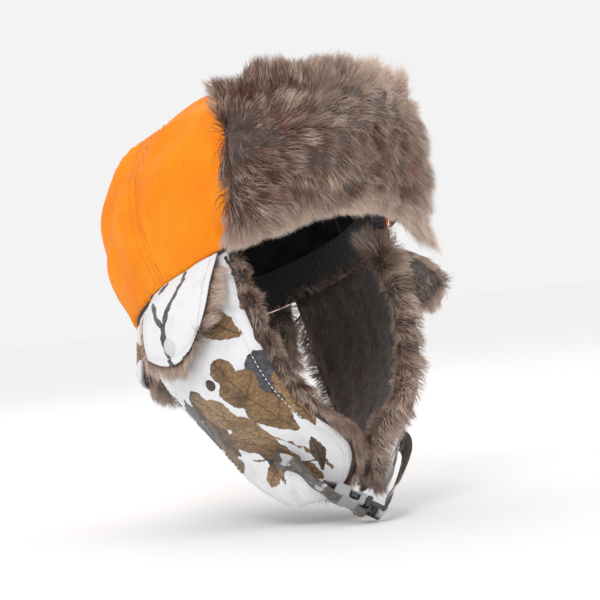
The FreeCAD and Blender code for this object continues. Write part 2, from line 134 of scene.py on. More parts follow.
def runs_along(path: Array) -> Array:
    """Each point's distance from the first, along the path."""
    return np.concatenate([[0], np.cumsum(np.linalg.norm(np.diff(path, axis=0), axis=1))])


def ripple(points: Array, scale: float, seed: int, stretch: Sequence[float] = (1, 1, 1)) -> Array:
    """Smooth noise in about -1..1: the mean of nine plane waves of random direction and phase.

    Args:
        points: Places, in metres, with the coordinates on the last axis.
        scale: Wave length in metres.
        seed: Picks the waves.
        stretch: How much longer the waves are along each axis.

    Returns:
        One value for each point.
    """
    rng = np.random.default_rng(seed)
    waves = unit(rng.normal(size=(9, 3))) * rng.uniform(0.6, 1.5, (9, 1)) / np.asarray(stretch)
    phases = rng.uniform(0, 2 * np.pi, 9)
    return np.sin(points @ (waves.T * 2 * np.pi / scale) + phases).mean(-1) * 1.9


def smooth(low: float, high: float, values: Array) -> Array:
    """0 below low, 1 above high, and 3t^2 - 2t^3 between."""
    t = np.clip((values - low) / (high - low), 0, 1)
    return t * t * (3 - 2 * t)


@dataclass(frozen=True)
class HatForm:
    """The sizes and the surfaces of the hat's cloth, the same as the frame's own."""

    width: float = 0.095
    depth: float = 0.116
    height: float = 0.130
    fullness: float = 2.75
    rim_pull: float = 0.09
    rim_pull_back: float = 0.05
    pitch: float = math.radians(19)
    rim_lift: float = 0.012
    drop: float = 0.160
    bulge: float = 0.15
    body_gap: float = 0.0008
    brow_half: float = math.radians(50)
    brow_height: float = 0.084
    flap_front: float = 55.0
    flap_back: float = 123.0
    neck_drop: float = 0.042
    neck_half: float = 54.0
    cover_depth: float = 0.245
    cover_fur: float = 0.007
    cover_root: float = 0.0015
    cover_flare: float = 0.004
    hinge_standoff: float = 0.004
    front_edge: tuple[tuple[float, ...], ...] = (
        (-0.83, -0.53, 0.17), (-0.82, -0.62, -0.04), (-0.76, -0.71, -0.25), (-0.65, -0.80, -0.45),
        (-0.46, -0.88, -0.61), (-0.25, -0.905, -0.71), (-0.16, -0.87, -0.81), (-0.19, -0.78, -0.92),
        (-0.32, -0.62, -1.0))
    back_edge: tuple[tuple[float, ...], ...] = (
        (-0.80, 0.53, -0.15), (-0.80, 0.43, -0.275), (-0.76, 0.33, -0.40), (-0.71, 0.21, -0.525),
        (-0.65, 0.05, -0.65), (-0.61, -0.12, -0.775), (-0.55, -0.28, -0.895), (-0.44, -0.45, -0.98),
        (-0.32, -0.62, -1.0))

    def pitched(self, across: Array, along: Array, up: Array) -> Array:
        """A level point tipped back by the pitch: y = a cos + u sin, z = u cos - a sin.

        Args:
            across, along, up: The level point, in metres.

        Returns:
            The point or points.
        """
        cos, sin = math.cos(self.pitch), math.sin(self.pitch)
        across, along, up = np.broadcast_arrays(across, along, up)
        return np.stack([across, along * cos + up * sin, up * cos - along * sin], -1)

    def rim_height(self, angle: Array) -> Array:
        """The rim's rise, lift times the square of the cosine in front and 0 behind."""
        return self.rim_lift * np.maximum(np.cos(angle), 0) ** 2

    def crown(self, angle: Array, rise: Array, offset: float | Array = 0.0) -> Array:
        """Superellipsoid drawn in near the rim.

        With s = rise / height, the radius is (1 - s^n)^(1/n), less a pull that fades by s = 0.42,
        and the point is (-width r sin, -depth r cos, rise) tipped back by the pitch.

        Args:
            angle: Turn from the front, in radians.
            rise: Height above the rim's plane.
            offset: Metres outwards.

        Returns:
            Points.
        """
        share = np.clip(rise / (self.height + offset), 0, 1)
        radius = (1 - share ** self.fullness) ** (1 / self.fullness)
        back = np.maximum(-np.cos(angle), 0)
        pull = self.rim_pull + (self.rim_pull_back - self.rim_pull) * back
        radius = radius * (1 - pull * np.maximum(1 - share / 0.42, 0) ** 1.6)
        return self.pitched(-(self.width + offset) * radius * np.sin(angle),
                            -(self.depth + offset) * radius * np.cos(angle), rise)

    def rim(self, angle: Array, offset: float | Array = 0.0) -> Array:
        """The crown's lowest line."""
        return self.crown(angle, self.rim_height(angle), offset)

    def layer(self, offset: float | Array) -> Surface:
        """The crown at one depth, over the angle and the share s of the way up.

        The rise is top times sin(lean)^(2/n), where lean runs from the rim's to 90 degrees as s^1.25.

        Args:
            offset: Metres outwards.

        Returns:
            The surface.
        """
        def surface(angle: Array, share: Array) -> Array:
            """Points at one depth.

            Args:
                angle, share: The two parameters.

            Returns:
                Points.
            """
            top = self.height + offset
            start = self.rim_height(angle)
            lean = np.arcsin(np.clip(start / top, 0, 1) ** (self.fullness / 2))
            lean = lean + (math.pi / 2 - 0.001 - lean) * share ** 1.25
            rise = top * np.sin(lean) ** (2 / self.fullness)
            return self.crown(angle, np.maximum(rise, start), offset)
        return surface

    def edge(self, points: Sequence[Sequence[float]], share: Array) -> Array:
        """Catmull-Rom curve through points given as shares of the hat's half sizes and drop.

        Args:
            points: The curve's points.
            share: Places along it, 0 to 1.

        Returns:
            Points.
        """
        whole = np.array(points) * (self.width, self.depth, self.drop)
        ends = np.vstack([2 * whole[:1] - whole[1:2], whole, 2 * whole[-1:] - whole[-2:-1]])
        place = np.clip(share, 0, 1) * (len(whole) - 1)
        index = np.minimum(place.astype(int), len(whole) - 2)
        f = (place - index)[..., None]
        p0, p1, p2, p3 = (ends[index + k] for k in range(4))
        return 0.5 * (2 * p1 + (p2 - p0) * f + (2 * p0 - 5 * p1 + 4 * p2 - p3) * f ** 2
                      + (3 * p1 - p0 - 3 * p2 + p3) * f ** 3)

    def flap_middle(self, u: Array, w: Array) -> Array:
        """Straight between the two edges, plus a bow of bulge times the chord times 4u(1-u).

        Args:
            u, w: Shares of the way from back to front, and down.

        Returns:
            Points.
        """
        front, back = self.edge(self.front_edge, w), self.edge(self.back_edge, w)
        chord = front - back
        out = unit(np.cross(chord, [0.0, 0.0, 1.0]))
        out = np.where(out[..., :1] > 0, -out, out)
        length = np.linalg.norm(chord, axis=-1, keepdims=True)
        bow = self.bulge * length * (4 * u * (1 - u))[..., None]
        return back + chord * u[..., None] + out * bow

    def flap(self, u: Array, w: Array) -> Array:
        """The right flap's outer face; its top is drawn to the rim by (1 - w/0.28)^2.

        Args:
            u, w: Shares of the way from back to front, and down.

        Returns:
            Points.
        """
        u, w = np.broadcast_arrays(np.asarray(u, float), np.asarray(w, float))
        fade = (np.maximum(1 - w / 0.28, 0) ** 2)[..., None]
        angle = np.radians(self.flap_back + (self.flap_front - self.flap_back) * u)
        top = self.rim(angle) - self.pitched(0.0, 0.0, self.body_gap)
        return self.flap_middle(u, w) + (top - self.flap_middle(u, np.zeros_like(w))) * fade

    def flap_out(self, u: Array, w: Array) -> Array:
        """The right flap's outward normals."""
        return normals(self.flap, u, w, (-1, 0, 0))

    def brow(self, distance: float | Array) -> Surface:
        """The turned-up brow: the rim, raised by v and pushed out by distance + 3 mm sin(pi v).

        Args:
            distance: How far it stands off the crown.

        Returns:
            The surface, over the turn from the front and the share of the way up.
        """
        def surface(angle: Array, v: Array) -> Array:
            """Points at one distance.

            Args:
                angle, v: The two parameters.

            Returns:
                Points.
            """
            angle, v = np.broadcast_arrays(np.asarray(angle, float), np.asarray(v, float))
            out = np.stack([-np.sin(angle), -np.cos(angle), np.zeros_like(angle)], -1)
            tall = self.brow_height * (1 + 0.22 * np.sin(angle) ** 2)
            rise = np.stack([np.zeros_like(v), -0.004 * v, tall * v], -1)
            return self.rim(angle) + rise + out * (distance + 0.003 * np.sin(np.pi * v))[..., None]
        return surface

    def neck(self, u: Array, w: Array) -> Array:
        """The curtain: the rim behind, lowered by w and flared 5 mm outwards.

        Args:
            u, w: Shares of the way along the rim, and down.

        Returns:
            Points.
        """
        u, w = np.broadcast_arrays(np.asarray(u, float), np.asarray(w, float))
        angle = np.radians(180 - self.neck_half + 2 * self.neck_half * u)
        out = np.stack([-np.sin(angle), -np.cos(angle), np.zeros_like(angle)], -1)
        top = self.rim(angle) - self.pitched(0.0, 0.0, self.body_gap)
        return top + np.stack([0 * w, 0 * w, -self.neck_drop * w], -1) + out * (0.005 * w)[..., None]

    def neck_out(self, u: Array, w: Array) -> Array:
        """The curtain's outward normals."""
        return normals(self.neck, u, w, (0, 1, 0))

    def cover(self, distance: float | Array, fur_share: float = 1.0) -> Surface:
        """The ear cover: a tongue on the flap's face that stands off by distance and flares.

        Args:
            distance: How far it stands off the flap.
            fur_share: How much of the fur's depth is kept free at the root.

        Returns:
            The surface, over the shares across and down.
        """
        def surface(a: Array, v: Array) -> Array:
            """Points at one distance.

            Args:
                a, v: The two parameters.

            Returns:
                Points.
            """
            a, v = np.broadcast_arrays(np.asarray(a, float), np.asarray(v, float))
            across = 2 * a - 1
            u = 0.69 - 0.15 * v + 0.275 * (1 - 0.22 * v ** 3) * across
            w = self.cover_depth * v * (1 - 0.20 * v * across ** 2)
            thin = (self.cover_fur - self.cover_root) * fur_share * np.maximum(1 - v / 0.4, 0) ** 1.5
            stand = distance + self.cover_flare * v - thin
            return self.flap(u, w) + self.flap_out(u, w) * stand[..., None]
        return surface

    def hinge_point(self) -> Array:
        """Where the left cover's hinge line passes, level with the ear."""
        x = self.rim(np.array(math.pi / 2), self.hinge_standoff)[0]
        return np.array([-x, 0.0, 0.0])


def normals(surface: Surface, u: Array, w: Array, outward: Sequence[float]) -> Array:
    """Unit normals by central differences, on the side that outward names.

    Args:
        surface: The surface.
        u, w: Its parameters.
        outward: A direction on the outer side.

    Returns:
        One normal for each place.
    """
    step = 0.01
    along = surface(u + step, w) - surface(u - step, w)
    down = surface(u, np.minimum(w + step, 1.0)) - surface(u, np.maximum(w - step, 0.0))
    normal = unit(np.cross(along, down))
    flip = np.sign((normal * np.asarray(outward, float)).sum(-1, keepdims=True))
    return normal * np.where(flip == 0, 1, flip)


def turned(points: Array, centre: Array, axis: Sequence[float], angle: float) -> Array:
    """Points turned about a line by Rodrigues' formula.

    Args:
        points: Points or directions.
        centre: A point of the line.
        axis: Its direction.
        angle: In radians.

    Returns:
        The turned points.
    """
    k = unit(np.asarray(axis, float))
    rel = points - centre
    cross = np.cross(k, rel)
    return centre + rel * math.cos(angle) + cross * math.sin(angle) \
        + k * (rel @ k)[..., None] * (1 - math.cos(angle))


FORM = HatForm()


# ---- meshes
def add_mesh(name: str, points: Array, faces: Array, uv: Array | None = None,
             coat: Array | None = None, smooth_faces: bool = True) -> bpy.types.Object:
    """A mesh object at the origin.

    Args:
        name: The piece's name.
        points: Vertices, N by 3.
        faces: Quads or triangles, M by 4 or M by 3.
        uv: Per-vertex texture place in metres, N by 2.
        coat: Per-vertex colour data, N by 3, kept as the attribute "coat".
        smooth_faces: Whether the faces are shaded smooth.

    Returns:
        The new object.
    """
    mesh = bpy.data.meshes.new(name)
    mesh.vertices.add(len(points))
    mesh.vertices.foreach_set("co", np.ascontiguousarray(points, np.float32).ravel())
    sides = faces.shape[1]
    mesh.loops.add(faces.size)
    mesh.loops.foreach_set("vertex_index", np.ascontiguousarray(faces, np.int32).ravel())
    mesh.polygons.add(len(faces))
    mesh.polygons.foreach_set("loop_start", np.arange(0, faces.size, sides, dtype=np.int32))
    mesh.polygons.foreach_set("use_smooth", np.full(len(faces), smooth_faces))
    if uv is not None:
        layer = mesh.uv_layers.new(name="UVMap")
        layer.data.foreach_set("uv", uv[faces.ravel()].astype(np.float32).ravel())
    if coat is not None:
        data = np.concatenate([coat, np.ones((len(coat), 1))], 1).astype(np.float32)
        mesh.attributes.new("coat", "FLOAT_COLOR", "POINT").data.foreach_set("color", data.ravel())
    mesh.update(calc_edges=True)
    mesh.validate()
    made = bpy.data.objects.new(name, mesh)
    bpy.context.scene.collection.objects.link(made)
    return made


def outward_faces(points: Array, faces: Array) -> Array:
    """The faces, turned over if the closed mesh's signed volume is negative.

    Args:
        points: Vertices.
        faces: A closed mesh's faces.

    Returns:
        The faces, all outwards.
    """
    corners = points[faces]
    centre = points.mean(0)
    a, b, c = corners[:, 0] - centre, corners[:, 1] - centre, corners[:, 2] - centre
    volume = (a * np.cross(b, c)).sum()
    if faces.shape[1] == 4:
        d = corners[:, 3] - centre
        volume += (a * np.cross(c, d)).sum()
    return faces[:, ::-1] if volume < 0 else faces


def grid_faces(rows: int, columns: int, start: int = 0) -> Array:
    """Quads of a grid whose vertex (i, j) is start + i * columns + j.

    Args:
        rows, columns: The grid's size.
        start: Its first vertex.

    Returns:
        The quads.
    """
    i, j = np.meshgrid(np.arange(rows - 1), np.arange(columns - 1), indexing="ij")
    first = start + i * columns + j
    return np.stack([first, first + 1, first + columns + 1, first + columns], -1).reshape(-1, 4)


def closed_slab(name: str, outer: Array, inner: Array, uv: Array) -> bpy.types.Object:
    """A closed solid between two grids of points that have the same shape.

    The inner grid's faces run the other way, and four strips join the borders.

    Args:
        name: The piece's name.
        outer, inner: The two grids.
        uv: Texture places of the outer grid.

    Returns:
        The piece.
    """
    rows, columns = outer.shape[:2]
    count = rows * columns
    points = np.concatenate([outer.reshape(-1, 3), inner.reshape(-1, 3)])
    number = np.arange(count).reshape(rows, columns)
    rim = np.concatenate([number[0, :-1], number[:-1, -1], number[-1, :0:-1], number[:0:-1, 0]])
    after = np.roll(rim, -1)
    sides = np.stack([after, rim, rim + count, after + count], -1)
    faces = np.concatenate([grid_faces(rows, columns), grid_faces(rows, columns, count)[:, ::-1], sides])
    flat = uv.reshape(-1, 2)
    return add_mesh(name, points, outward_faces(points, faces), np.concatenate([flat, flat]))


def tube(name: str, rings: Array, uv: Array, looped: bool = False) -> bpy.types.Object:
    """A closed skin over rings of points, rings by sides by 3, with flat ends or joined ends.

    Args:
        name: The piece's name.
        rings: Points.
        uv: Texture places of the rings.
        looped: Whether the last ring joins the first.

    Returns:
        The piece.
    """
    count, sides = rings.shape[:2]
    number = np.arange(count * sides).reshape(count, sides)
    low, high = (number, np.roll(number, -1, 0)) if looped else (number[:-1], number[1:])
    faces = np.stack([low, np.roll(low, -1, 1), np.roll(high, -1, 1), high], -1).reshape(-1, 4)
    points = rings.reshape(-1, 3)
    texture = uv.reshape(-1, 2)
    if not looped:
        ends = np.array([rings[0].mean(0), rings[-1].mean(0)])
        points = np.concatenate([points, ends])
        texture = np.concatenate([texture, uv[0].mean(0)[None], uv[-1].mean(0)[None]])
        first, last, total = number[0], number[-1], count * sides
        caps = [np.stack([np.roll(first, -1), first, np.full(sides, total), np.full(sides, total)], -1),
                np.stack([last, np.roll(last, -1), np.full(sides, total + 1),
                          np.full(sides, total + 1)], -1)]
        triangles = np.concatenate([c[:, :3] for c in caps])
        quads = outward_faces(points, faces)
        if quads is not faces:
            triangles = triangles[:, ::-1]
        halves = np.concatenate([quads[:, [0, 1, 2]], quads[:, [0, 2, 3]], triangles])
        return add_mesh(name, points, halves, texture)
    return add_mesh(name, points, outward_faces(points, faces), texture)


def lathe(name: str, profile: Array, place: Array, normal: Array, sides: int = 40) -> bpy.types.Object:
    """A profile of (radius, height) rows spun about the normal; radius 0 rows close the poles.

    Args:
        name: The piece's name.
        profile: The rows.
        place: Where height 0 lies.
        normal: The axis.
        sides: Faces round it.

    Returns:
        The piece.
    """
    normal = unit(normal)
    east = unit(np.cross(normal, [0.31, 0.11, 0.94]))
    north = np.cross(normal, east)
    turn = np.arange(sides) * 2 * np.pi / sides
    around = np.cos(turn)[:, None] * east + np.sin(turn)[:, None] * north
    rings = place + profile[:, None, :1] * around[None] + profile[:, None, 1:] * normal
    uv = np.stack(np.broadcast_arrays(turn[None] * profile.max(), profile[:, 1:] * 1.0), -1)
    return tube(name, rings, uv)


def length_uv(points: Array) -> Array:
    """Texture places in metres: the mean run along the rows and the columns, centred.

    Args:
        points: A grid of points.

    Returns:
        A grid of places.
    """
    rows = np.linalg.norm(np.diff(points, axis=0), axis=-1).mean(1)
    columns = np.linalg.norm(np.diff(points, axis=1), axis=-1)
    across = np.concatenate([[0], np.cumsum(rows)])
    down = np.concatenate([np.zeros((len(points), 1)), np.cumsum(columns, 1)], 1)
    return np.stack([np.broadcast_to(across[:, None] - across[-1] / 2, down.shape), down], -1)


def margin(u: Array, w: Array, size_u: float, size_w: float, top: bool = True) -> Array:
    """Distance in metres to the nearest border of the unit square, sized size_u by size_w.

    Args:
        u, w: Places in the square.
        size_u, size_w: Its size.
        top: Whether the border at w = 0 counts.

    Returns:
        Distances.
    """
    parts = [u * size_u, (1 - u) * size_u, (1 - w) * size_w]
    if top:
        parts.append(w * size_w)
    return np.minimum.reduce(parts)


def stitches(name: str, path: Array, normal: Array, pitch: float = 0.0034,
             thickness: float = 0.00033) -> bpy.types.Object:
    """A row of thread stitches along a path.

    Each is a five-sided spindle of four rings, whose middle bows off the cloth.

    Args:
        name: The piece's name.
        path: Points along the row.
        normal: The cloth's outward normal at each point.
        pitch: Distance from one stitch to the next.
        thickness: The thread's radius.

    Returns:
        The stitches as one object.
    """
    runs = runs_along(path)
    count = max(int(runs[-1] / pitch), 2)
    starts = (np.arange(count) + 0.15) * runs[-1] / count
    share = np.array([0.0, 0.25, 0.75, 1.0])
    at = starts[:, None] + share * pitch * 0.68
    centre = np.stack([np.interp(at, runs, path[:, k]) for k in range(3)], -1)
    up = unit(np.stack([np.interp(at, runs, normal[:, k]) for k in range(3)], -1))
    lift = np.array([-0.2, 0.7, 0.7, -0.2]) * thickness
    centre = centre + up * lift[None, :, None]
    ahead = unit(centre[:, -1:] - centre[:, :1])
    side = unit(np.cross(ahead, up))
    turn = np.arange(5) * 2 * np.pi / 5
    radius = np.array([0.35, 1.0, 1.0, 0.35]) * thickness
    ring = (np.cos(turn)[:, None] * side[:, :, None, :] + np.sin(turn)[:, None] * up[:, :, None, :])
    points = centre[:, :, None, :] + ring * radius[None, :, None, None]
    number = np.arange(count * 20).reshape(count, 4, 5)
    low, high = number[:, :-1], number[:, 1:]
    quads = np.stack([low, np.roll(low, -1, 2), np.roll(high, -1, 2), high], -1).reshape(-1, 4)
    first, last = number[:, 0], number[:, -1]
    fans = [np.stack([first[:, 0], first[:, k + 1], first[:, k]], -1) for k in range(1, 4)]
    fans += [np.stack([last[:, 0], last[:, k], last[:, k + 1]], -1) for k in range(1, 4)]
    triangles = np.concatenate([quads[:, [0, 1, 2]], quads[:, [0, 2, 3]]] + fans)
    points = points.reshape(-1, 3)
    uv = np.stack([np.tile(turn * thickness, count * 4), np.repeat(at.ravel(), 5)], -1)
    return add_mesh(name, points, outward_faces(points, triangles), uv)


# ---- fur
@dataclass
class Coat:
    """Roots and habits of one patch of fur; each array has one row a strand."""

    roots: Array
    normal: Array
    flow: Array
    length: Array
    lift: Array
    pale: Array
    width: float = 0.00042
    clump: float = 0.55
    clump_size: float = 0.0055
    droop: float = 0.12
    curl: float = 0.075
    seed: int = 1

    def joined(self, other: Coat) -> Coat:
        """This coat and another, with this one's habits."""
        names = ("roots", "normal", "flow", "length", "lift", "pale")
        return replace(self, **{n: np.concatenate([getattr(self, n), getattr(other, n)]) for n in names})

    def mirrored(self) -> Coat:
        """The same coat on the wearer's other side, with other random strands.

        Returns:
            The coat.
        """
        flip = np.array([-1.0, 1, 1])
        return replace(self, roots=self.roots * flip, normal=self.normal * flip,
                       flow=self.flow * flip, seed=self.seed + 40)

    def moved(self, centre: Array, axis: Sequence[float], angle: float) -> Coat:
        """The same coat turned about a line.

        Args:
            centre: A point of the line.
            axis: Its direction.
            angle: In radians.

        Returns:
            The turned coat.
        """
        zero = np.zeros(3)
        return replace(self, roots=turned(self.roots, centre, axis, angle),
                       normal=turned(self.normal, zero, axis, angle),
                       flow=turned(self.flow, zero, axis, angle))

    def strands(self) -> tuple[Array, Array, Array, Array]:
        """Centre lines and frames of the strands.

        A strand leaves its root at its lift between the flow and the normal, bends over towards the
        flow and down, wavers, and its tip is drawn to the middle tip of its clump.

        Returns:
            Lines (N, 4, 3), side vectors (N, 3), random shades (N,) and the order of the clumps.
        """
        rng = np.random.default_rng(self.seed)
        count = len(self.roots)
        flow = unit(self.flow + rng.normal(0, 0.16, (count, 3)))
        lift = np.clip(self.lift + rng.normal(0, 0.09, count), 0.05, 1.4)[:, None]
        start = unit(flow * (1 - lift) + self.normal * lift)
        end = unit(flow * (1.15 - 0.6 * lift) + self.normal * 0.45 * lift
                   + np.array([0, 0, -1.0]) * self.droop)
        length = (self.length * rng.uniform(0.72, 1.18, count))[:, None, None]
        share = np.array([0, 0.36, 0.70, 1.0])[None, :, None]
        bend = start[:, None] * share * (1 - 0.5 * share) + end[:, None] * 0.5 * share ** 2
        waver = ripple(self.roots, 0.016, self.seed + 5)[:, None, None]
        side = unit(np.cross(start, self.normal + 1e-4))
        curl = (np.sin(share * 4.4 + waver * 4) - np.sin(waver * 4)) * length * self.curl
        lines = self.roots[:, None] + bend * length + side[:, None] * curl
        jitter = rng.normal(0, self.clump_size * 0.22, (count, 3))
        cells = np.floor((self.roots + jitter) / self.clump_size).astype(np.int64)
        keys = cells @ np.array([73856093, 19349663, 83492791])
        _, group = np.unique(keys, return_inverse=True)
        group = group.ravel()
        members = np.bincount(group)[:, None]
        middle = np.stack([np.bincount(group, lines[:, 3, k]) for k in range(3)], -1) / members
        pull = self.clump * share ** 1.7 * rng.uniform(0.55, 1.0, (count, 1, 1))
        lines = lines + (middle[group][:, None] - lines[:, 3:4]) * pull
        shade = np.clip(0.5 + 0.16 * rng.normal(size=count)
                        + 0.42 * rng.uniform(-1, 1, group.max() + 1)[group], 0, 1)
        return lines, side, shade, np.argsort(self.roots[:, 0])

    def build(self, name: str) -> list[bpy.types.Object]:
        """The strands as closed, three-sided tapered spikes, in pieces of limited size.

        Args:
            name: The pieces' name, before their numbers.

        Returns:
            The pieces.
        """
        lines, side, shade, order = self.strands()
        tangent = unit(lines[:, 3] - lines[:, 0])
        other = unit(np.cross(tangent, side))
        turn = np.arange(3) * 2 * np.pi / 3 + 0.5
        ring = np.cos(turn)[:, None] * side[:, None] + 0.62 * np.sin(turn)[:, None] * other[:, None]
        radius = self.width * np.array([0.62, 1.0, 0.68])[None, :, None, None]
        body = lines[:, :3, None, :] + ring[:, None] * radius * 0.5
        points = np.concatenate([body.reshape(-1, 9, 3), lines[:, 3:4]], 1)
        local = []
        for low in (0, 3):
            for k in range(3):
                a, b = low + k, low + (k + 1) % 3
                local += [(a, b, b + 3), (a, b + 3, a + 3)]
        local += [(6, 7, 9), (7, 8, 9), (8, 6, 9), (0, 2, 1)]
        corners = np.array(local)
        share = np.array([0.0] * 3 + [0.36] * 3 + [0.70] * 3 + [1.0])
        made = []
        parts = max(1, math.ceil(len(order) / STRANDS_PER_PIECE))
        for index, chosen in enumerate(np.array_split(order, parts)):
            count = len(chosen)
            faces = (corners[None] + 10 * np.arange(count)[:, None, None]).reshape(-1, 3)
            flat = points[chosen].reshape(-1, 3)
            coat = np.stack([np.tile(share, count), np.repeat(shade[chosen], 10),
                             np.repeat(self.pale[chosen], 10)], -1)
            label = name if parts == 1 else f"{name}_{index + 1}"
            made.append(add_mesh(label, flat, faces, None, coat))
        return made


def scatter(surface: Surface, count: int, low: Sequence[float], high: Sequence[float],
            seed: int) -> tuple[Array, Array]:
    """Random places on a surface, evenly by area between two corners of its parameters.

    Args:
        surface: The surface.
        count: How many places.
        low, high: The corners.
        seed: Picks the places.

    Returns:
        Both parameters of each place.
    """
    rng = np.random.default_rng(seed)
    u = rng.uniform(low[0], high[0], 3 * count)
    w = rng.uniform(low[1], high[1], 3 * count)
    e = 0.004
    du = surface(u + e, w) - surface(u - e, w)
    dw = surface(u, w + e) - surface(u, w - e)
    area = np.linalg.norm(np.cross(du, dw), axis=-1)
    keep = rng.uniform(0, np.quantile(area, 0.98), 3 * count) < area
    picked = np.flatnonzero(keep)[:count]
    return u[picked], w[picked]


# ---- finishes
Socket = bpy.types.NodeSocket
Colour = tuple[float, float, float]


class Nodes:
    """A short way to write one material's or one group's nodes."""

    def __init__(self, tree: bpy.types.NodeTree) -> None:
        """Starts from an empty tree."""
        self.tree = tree
        tree.nodes.clear()

    def add(self, kind: str, inputs: dict | None = None, out: int | str = 0, **settings: object) -> Socket:
        """A node with its settings and inputs, sockets or constants; returns one output.

        Args:
            kind: The node's type.
            inputs: Sockets or constants by input.
            out: The output to return.
            settings: Node properties.

        Returns:
            The output.
        """
        node = self.tree.nodes.new("ShaderNode" + kind)
        for key, value in settings.items():
            setattr(node, key, value)
        for key, value in (inputs or {}).items():
            if isinstance(value, bpy.types.NodeSocket):
                self.tree.links.new(value, node.inputs[key])
            else:
                node.inputs[key].default_value = value
        return node.outputs[out]

    def math(self, operation: str, *values: Socket | float, clamp: bool = False) -> Socket:
        """One Math node."""
        return self.add("Math", dict(enumerate(values)), operation=operation, use_clamp=clamp)

    def vector(self, operation: str, *values: Socket | Sequence[float], out: int = 0) -> Socket:
        """One Vector Math node."""
        return self.add("VectorMath", dict(enumerate(values)), out=out, operation=operation)

    def mix(self, factor: Socket | float, first: Socket | Colour, second: Socket | Colour,
            blend: str = "MIX") -> Socket:
        """One colour Mix node.

        Args:
            factor: Share of the second.
            first, second: Colours.
            blend: The way they mix.

        Returns:
            The colour.
        """
        pair = [v if isinstance(v, bpy.types.NodeSocket) else (*v, 1.0) for v in (first, second)]
        return self.add("Mix", {0: factor, 6: pair[0], 7: pair[1]}, out=2, data_type="RGBA",
                        blend_type=blend)

    def noise(self, place: Socket, scale: float, detail: float = 3.0, rough: float = 0.5) -> Socket:
        """Noise, 0 to 1."""
        return self.add("TexNoise", {"Vector": place, "Scale": scale, "Detail": detail, "Roughness": rough})

    def ramp(self, value: Socket, stops: Sequence[tuple[float, Colour]]) -> Socket:
        """A colour ramp through the stops.

        Args:
            value: What it reads.
            stops: Places and colours.

        Returns:
            The colour.
        """
        made = self.add("ValToRGB", {0: value})
        bar = made.node.color_ramp
        while len(bar.elements) < len(stops):
            bar.elements.new(0.5)
        for element, (at, colour) in zip(bar.elements, stops):
            element.position = at
            element.color = (*colour, 1.0)
        return made

    def span(self, value: Socket, low: float, high: float, to_low: float = 0.0,
             to_high: float = 1.0) -> Socket:
        """The value mapped from one range to another, clamped."""
        return self.add("MapRange", {0: value, 1: low, 2: high, 3: to_low, 4: to_high})

    def wave(self, value: Socket, pitch: float) -> Socket:
        """A sine of the value, 0 to 1, that repeats at each pitch."""
        sine = self.math("SINE", self.math("MULTIPLY", value, 2 * math.pi / pitch))
        return self.math("MULTIPLY_ADD", sine, 0.5, 0.5)

    def axes(self, place: Socket) -> tuple[Socket, Socket, Socket]:
        """The three parts of a vector."""
        node = self.add("SeparateXYZ", {0: place}).node
        return node.outputs[0], node.outputs[1], node.outputs[2]

    def object_place(self) -> Socket:
        """Object coordinates."""
        return self.add("TexCoord", out="Object")

    def cloth_place(self) -> Socket:
        """The piece's own texture places, in metres."""
        return self.add("UVMap", uv_map="UVMap")

    def bump(self, height: Socket, distance: float, strength: float = 1.0,
             before: Socket | None = None) -> Socket:
        """A bump from a height of 0 to 1.

        Args:
            height: The height.
            distance: Metres at height 1.
            strength: Its share.
            before: A normal to start from.

        Returns:
            The normal.
        """
        inputs = {"Height": height, "Distance": distance, "Strength": strength}
        if before is not None:
            inputs["Normal"] = before
        return self.add("Bump", inputs)

    def surface(self, **sockets: object) -> None:
        """The Principled shader and the output; underscores stand for spaces in socket names.

        Args:
            sockets: Values or sockets of the shader.
        """
        shader = self.tree.nodes.new("ShaderNodeBsdfPrincipled")
        for key, value in sockets.items():
            target = shader.inputs[key.replace("_", " ")]
            if isinstance(value, bpy.types.NodeSocket):
                self.tree.links.new(value, target)
            elif isinstance(value, tuple) and len(value) == 3 and target.type == "RGBA":
                target.default_value = (*value, 1.0)
            else:
                target.default_value = value
        output = self.tree.nodes.new("ShaderNodeOutputMaterial")
        self.tree.links.new(shader.outputs[0], output.inputs[0])


@dataclass(frozen=True)
class Finish:
    """A named finish; subclasses write its nodes."""

    name: str

    def material(self) -> bpy.types.Material:
        """The material, made once.

        Returns:
            The material.
        """
        found = bpy.data.materials.get(self.name)
        if found is None:
            found = bpy.data.materials.new(self.name)
            found.use_nodes = True
            self.write(Nodes(found.node_tree))
        return found

    def write(self, nodes: Nodes) -> None:
        """Fills the material's tree."""
        raise NotImplementedError

    def dress(self, *objects: bpy.types.Object) -> None:
        """Puts the finish on pieces of the hat.

        Args:
            objects: The pieces.
        """
        for piece in objects:
            piece.data.materials.clear()
            piece.data.materials.append(self.material())


def weave_height(nodes: Nodes, place: Socket, pitch: float) -> Socket:
    """Plain weave: the product of two sines, one along each thread direction, as 0 to 1.

    Args:
        nodes: The material's tree.
        place: Texture places in metres.
        pitch: Distance between threads.

    Returns:
        The height.
    """
    across, along, _ = nodes.axes(place)
    waves = [nodes.math("SINE", nodes.math("MULTIPLY", part, 2 * math.pi / pitch))
             for part in (across, along)]
    return nodes.math("MULTIPLY_ADD", nodes.math("MULTIPLY", *waves), 0.5, 0.5)


